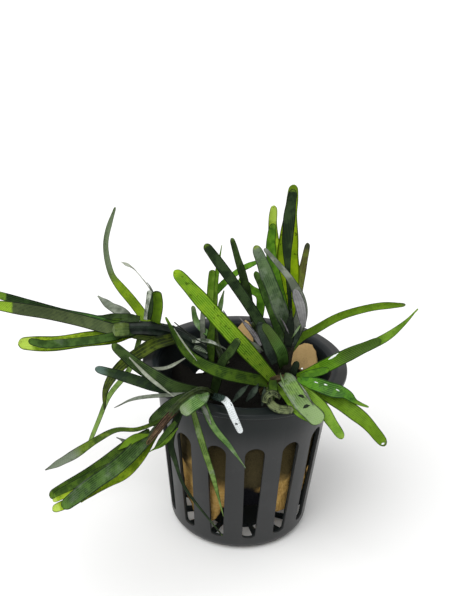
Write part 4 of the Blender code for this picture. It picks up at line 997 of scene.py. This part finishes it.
def potRings():
    top, mouth, wall, corner = pot["height"], pot["mouth"], pot["wall"], pot["corner"]
    neck, lip, bevel = pot["neckRound"], pot["rimRound"], pot["rimThickness"]
    foot, rim = pot["base"] - corner, pot["rim"] - lip
    return (cornerRings(foot, corner, corner, -90, 0, 9)
            + cornerRings(mouth + wall + neck, top - bevel - neck, neck, 180, 90, 4)
            + cornerRings(rim, top - pot["rimUnderside"], lip, -90, 0, 4)
            + cornerRings(rim, top - lip, lip, 0, 90, 4)
            + cornerRings(mouth + bevel, top - bevel, bevel, 90, 180, 6)
            + cornerRings(foot, pot["floor"] + corner - wall, corner - wall, 0, -90, 7))


def makeWallCutter():
    bpy.ops.mesh.primitive_cylinder_add(vertices=pot["slotSides"], radius=pot["slotWide"] / 2 * mm,
                                        depth=pot["slotDepth"] * mm, location=(0, 0, 0),
                                        rotation=(math.radians(90), 0, 0))
    cutter = bpy.context.object
    applyPlace(cutter)
    bpy.ops.object.mode_set(mode="EDIT")
    bpy.ops.mesh.select_all(action="DESELECT")
    bpy.ops.object.mode_set(mode="OBJECT")
    for vertex in cutter.data.vertices:
        vertex.select = vertex.co.z < -0.1 * mm
    bpy.ops.object.mode_set(mode="EDIT")
    drop = pot["slotTop"] - pot["slotBottom"] - pot["slotWide"]
    narrow = pot["slotNarrow"] / pot["slotWide"]
    middle = (pot["base"] + pot["mouth"]) / 2
    bpy.ops.transform.translate(value=(0, 0, -drop * mm))
    bpy.ops.transform.resize(value=(narrow, 1, pot["slotFootHeight"]),
                             center_override=(0, 0, -drop * mm))
    bpy.ops.mesh.select_all(action="SELECT")
    bpy.ops.transform.translate(value=(0, -middle * mm, (pot["slotTop"] - pot["slotWide"] / 2) * mm))
    bpy.ops.object.mode_set(mode="OBJECT")
    return cutter


def makeFloorCutter():
    wide, slim, inner, outer = pot["floorSlot"]
    halfway = -(inner + outer) / 2 * mm
    bpy.ops.mesh.primitive_cube_add(size=1, location=(0, halfway, pot["floor"] / 2 * mm),
                                    scale=(wide * mm, (outer - inner) * mm, pot["floorCut"] * mm))
    cutter = bpy.context.object
    applyPlace(cutter)
    for vertex in cutter.data.vertices:
        if vertex.co.y > halfway:
            vertex.co.x *= slim / wide
    return cutter


def buildPot():
    body = raiseRings(potRings(), pot["steps"])
    cutter = makeWallCutter()
    joinInto(cutter, [makeFloorCutter()])
    ring = []
    for i in range(pot["slots"]):
        copy = cutter.copy()
        copy.data = cutter.data.copy()
        bpy.context.collection.objects.link(copy)
        copy.rotation_euler = (0, 0, math.radians(pot["firstSlot"] + i * 360 / pot["slots"]))
        ring.append(copy)
    bpy.data.objects.remove(cutter)
    joinInto(ring[0], ring[1:])
    applyPlace(ring[0])
    slots = body.modifiers.new("slots", "BOOLEAN")
    slots.operation = "DIFFERENCE"
    slots.solver = "EXACT"
    slots.object = ring[0]
    applyModifiers(body)
    bpy.data.objects.remove(ring[0])
    onlySelect(body)
    bpy.ops.object.shade_smooth_by_angle(angle=math.radians(pot["smoothAngle"]))
    return keepPiece(body, "netPot", makePotLook(), ["net_pot"])


buildPot()
print("net pot ready")


# Rock wool plug, in mm. A lump or a hanging tuft is given as its place, its height or drop, its reach

wool = {
    "steps": 96,
    "sideRows": 60,
    "top": 44.2,
    "foot": 9.5,
    "centre": 0.1,            # points nearer to the middle than this stay where they are
    "side": [(9.0, 44.0), (16.0, 43.4), (19.0, 41.6), (20.2, 36.0), (20.0, 27.0), (19.0, 18.0),
        (17.0, 12.5), (12.0, 10.5)],     # radius and height, from the top down
    "dent": 1.5,
    "dentTurns": (3, 2),      # waves round the plug
    "dentSlants": (0.35, -0.2),     # how they wind with the height, radians for each mm
    "lumps": [((17.0, 9.5), 7.5, 11.0), ((0.0, 19.0), 8.5, 8.0), ((-19.0, 6.0), 5.5, 6.5),
        ((-13.3, 10.5), -8.0, 9.0)],
    "lumpsAbove": 35.0,
    "spread": 0.45,           # how far a lump leans out, as a share of its height
    "hangs": [((-12.5, -14.5), 10.0, 8.3), ((-4.4, -18.5), 1.5, 6.0), ((12.3, -14.6), 4.5, 7.0)],
    "hangFrom": 20.0,         # below this height the plug's foot is drawn down to the hanging tufts
    "hangOver": 7.0,
    "bulge": ((0.95, -0.31), 2.8),      # side on which the plug presses on the wall, mm further out
    "bulgePower": 6,
    "squeeze": 0.6,           # how much closer to the wall it comes there
    "gap": 0.3,               # from the wall elsewhere
    "rough": (("clumps", 4.0, 1.6), ("tufts", 1.3, 0.7), ("grains", 0.5, 0.25)),     # size and depth
    "roughLevel": 0.85,       # more than 0.5 presses the rough face in rather than out
}

woolSkin = {
    "clump": (190.0, 4.0, 0.6),
    "patch": (85.0, 3.0, 0.55),
    "fibre": (1400.0, 4.0, 0.7),
    "clumpBand": (0.3, 0.7),
    "dark": (0.26, 0.14, 0.035),
    "light": (0.58, 0.36, 0.1),
    "fibreBand": (0.35, 0.75),
    "fibreShare": 0.5,
    "fibreColour": (0.66, 0.46, 0.19),
    # stain and painted shade: darker brown patches reaching down from the top, from roots and algae and
    # from the shade under the leaves
    "stainAndShadeBand": (0.032, 0.042),        # height in metres, as in the next three
    "stainAndShadeWaver": 0.034,
    # painted shade with dark roots: the top of the plug near black
    "levelBand": (0.0345, 0.0425),
    "levelWaver": 0.012,
    "stainAndShadeColour": (0.06, 0.046, 0.018),
    "shadeAndRootColour": (0.005, 0.0045, 0.0035),
    "spots": [((17.0, 9.0, 49.0), 7.5, (0.5, 0.34, 0.15)), ((0.0, 19.5, 49.0), 6.0, (0.5, 0.34, 0.15)),
        # behind the front slot: a dark brown spot, and below it a near black spot of painted shade
        ((3.0, -19.5, 25.0), 6.5, (0.06, 0.048, 0.022)),
        ((3.0, -19.5, 13.5), 6.5, (0.006, 0.006, 0.008))],      # place and reach in mm, colour
    "spotWaver": 0.004,                 # metres
    "spotBand": (2.8, 1.2),             # mm past the spot's reach
    "roughness": 0.95,
    "gloss": 0.08,
    "bump": (0.9, 0.5),
}


def makeWoolLook():
    material, tree, shader = newMaterial("rockWool")
    where = onPiece(tree)
    height = put(tree, "ShaderNodeSeparateXYZ", Vector=where).outputs["Z"]
    clump = noise(tree, where, *woolSkin["clump"])
    patch = noise(tree, where, *woolSkin["patch"])
    fibre = noise(tree, where, *woolSkin["fibre"])
    strands = times(tree, between(tree, fibre, *woolSkin["fibreBand"]), woolSkin["fibreShare"])
    stainAndShade = plus(tree, times(tree, patch, woolSkin["stainAndShadeWaver"]), height)
    level = plus(tree, times(tree, clump, woolSkin["levelWaver"]), height)
    clumps = between(tree, clump, *woolSkin["clumpBand"])
    colour = tint(tree, clumps, woolSkin["dark"], woolSkin["light"])
    # stain and painted shade, then painted shade with dark roots near black at the top
    for share, paint in ((strands, "fibreColour"),
                         (between(tree, stainAndShade, *woolSkin["stainAndShadeBand"]), "stainAndShadeColour"),
                         (between(tree, level, *woolSkin["levelBand"]), "shadeAndRootColour")):
        colour = tint(tree, share, colour, woolSkin[paint])
    for centre, reach, paint in woolSkin["spots"]:
        away = put(tree, "ShaderNodeVectorMath", Vector=where)
        away.operation = "DISTANCE"
        away.inputs[1].default_value = Vector(centre) * mm
        edge = plus(tree, away.outputs["Value"], times(tree, clump, woolSkin["spotWaver"]))
        mask = between(tree, edge, *[(reach + blur) * mm for blur in woolSkin["spotBand"]])
        colour = tint(tree, mask, colour, paint)
    finishSurface(tree, shader, colour, woolSkin["roughness"], woolSkin["gloss"])
    bumpOn(tree, shader, plus(tree, clump, fibre), *woolSkin["bump"])
    return material


def innerRadius(height):
    low = pot["floor"] + pot["corner"] - pot["wall"]
    share = (height - low) / (pot["height"] - pot["rimThickness"] - low)
    return pot["base"] - pot["wall"] + (pot["mouth"] - pot["base"] + pot["wall"]) * share


def nearness(around, centre, reach):
    return max(0.0, 1.0 - (around - Vector(centre)).length / reach)


def woolRise(around, height):
    rise = 0.0
    for centre, lump, reach in wool["lumps"]:
        near = nearness(around, centre, reach)
        rise += lump * near * near * (3 - 2 * near) if height > wool["lumpsAbove"] else 0.0
    share = min(1.0, max(0.0, (wool["hangFrom"] - height) / wool["hangOver"]))
    for centre, drop, reach in wool["hangs"]:
        rise -= drop * nearness(around, centre, reach) ** 0.5 * share
    return rise


def buildWool():
    side, _ = smoothRoute([(r, 0, z) for r, z in reversed(wool["side"])], wool["sideRows"])
    rings = [(0.5, wool["foot"])] + [(place.x, place.z) for place in side]
    plug = raiseRings(rings + [(5.0, wool["top"]), (1.0, wool["top"])], wool["steps"])
    pressed, push = wool["bulge"]
    for vertex in plug.data.vertices:
        place = vertex.co / mm
        around = Vector((place.x, place.y))
        if around.length < wool["centre"]:
            continue
        rise = woolRise(around, place.z)
        turn = around.angle_signed(Vector((1.0, 0.0)))
        first, second = [count * turn + place.z * slant
                         for count, slant in zip(wool["dentTurns"], wool["dentSlants"])]
        dent = 0.5 + 0.5 * math.sin(first) * math.cos(second)
        press = max(0.0, around.normalized().dot(Vector(pressed))) ** wool["bulgePower"]
        length = around.length + wool["spread"] * max(rise, 0.0) + push * press
        room = innerRadius(place.z + rise) - wool["gap"] + wool["squeeze"] * press
        radius = min(length, room) - wool["dent"] * dent * (1 - press) * around.length / pot["mouth"]
        around = around.normalized() * radius
        vertex.co = (around.x * mm, around.y * mm, (place.z + rise) * mm)
    for name, size, depth in wool["rough"]:
        cloud = bpy.data.textures.new(name, "CLOUDS")
        cloud.noise_scale = size * mm
        rough = plug.modifiers.new(name, "DISPLACE")
        rough.texture = cloud
        rough.texture_coords = "LOCAL"
        rough.strength = depth * mm
        rough.mid_level = wool["roughLevel"]
    applyModifiers(plug)
    bpy.ops.object.shade_smooth()
    return keepPiece(plug, "rockWool", makeWoolLook(), ["rock_wool"])


buildWool()
print("rock wool ready")


# Floor, light and camera

studio = {
    "floorSize": 3.0,
    "floorColour": (0.84, 0.84, 0.835),
    "floorRoughness": 0.9,
    "skyColour": (1.0, 1.0, 1.0),
    "skyStrength": 0.72,
    "sunTurn": (28.0, -22.0, 0.0),     # degrees
    "sunAngle": 50.0,
    "sunStrength": 2.45,
}


def buildStudio():
    bpy.ops.mesh.primitive_plane_add(size=studio["floorSize"], location=(0, 0, 0))
    floor = bpy.context.object
    floor.name = "studioFloor"
    material, tree, shader = newMaterial("studioFloor")
    feed(tree, shader.inputs["Base Color"], studio["floorColour"])
    shader.inputs["Roughness"].default_value = studio["floorRoughness"]
    floor.data.materials.append(material)
    world = bpy.data.worlds.new("studio")
    world.use_nodes = True
    sky = world.node_tree.nodes["Background"]
    feed(world.node_tree, sky.inputs["Color"], studio["skyColour"])
    sky.inputs["Strength"].default_value = studio["skyStrength"]
    bpy.context.scene.world = world
    bpy.ops.object.light_add(type="SUN", rotation=[math.radians(turn) for turn in studio["sunTurn"]])
    key = bpy.context.object
    key.name = "keyLight"
    key.data.energy = studio["sunStrength"]
    key.data.angle = math.radians(studio["sunAngle"])


view = {
    "aim": (-3.4, 0.0, 67.1),     # mm
    "distance": 261.0,            # mm
    "elevation": 25.4,            # degrees
    "roll": 2.4,                  # degrees
    "lens": 60.4,
    "clipStart": 0.01,
}


def buildCamera():
    tilt, roll = math.radians(view["elevation"]), math.radians(view["roll"])
    back = Vector((0, -math.cos(tilt), math.sin(tilt)))
    across = Vector((1, 0, 0))
    up = back.cross(across)
    right = across * math.cos(roll) + up * math.sin(roll)
    top = up * math.cos(roll) - across * math.sin(roll)
    place = (Vector(view["aim"]) + back * view["distance"]) * mm
    bpy.ops.object.camera_add(location=place)
    camera = bpy.context.object
    camera.data.lens = view["lens"]
    camera.data.clip_start = view["clipStart"]
    camera.matrix_world = Matrix.Translation(place) @ Matrix((right, top, back)).transposed().to_4x4()
    bpy.context.scene.camera = camera


buildStudio()
buildCamera()
bpy.context.scene.view_settings.view_transform = "Standard"
print("studio ready")
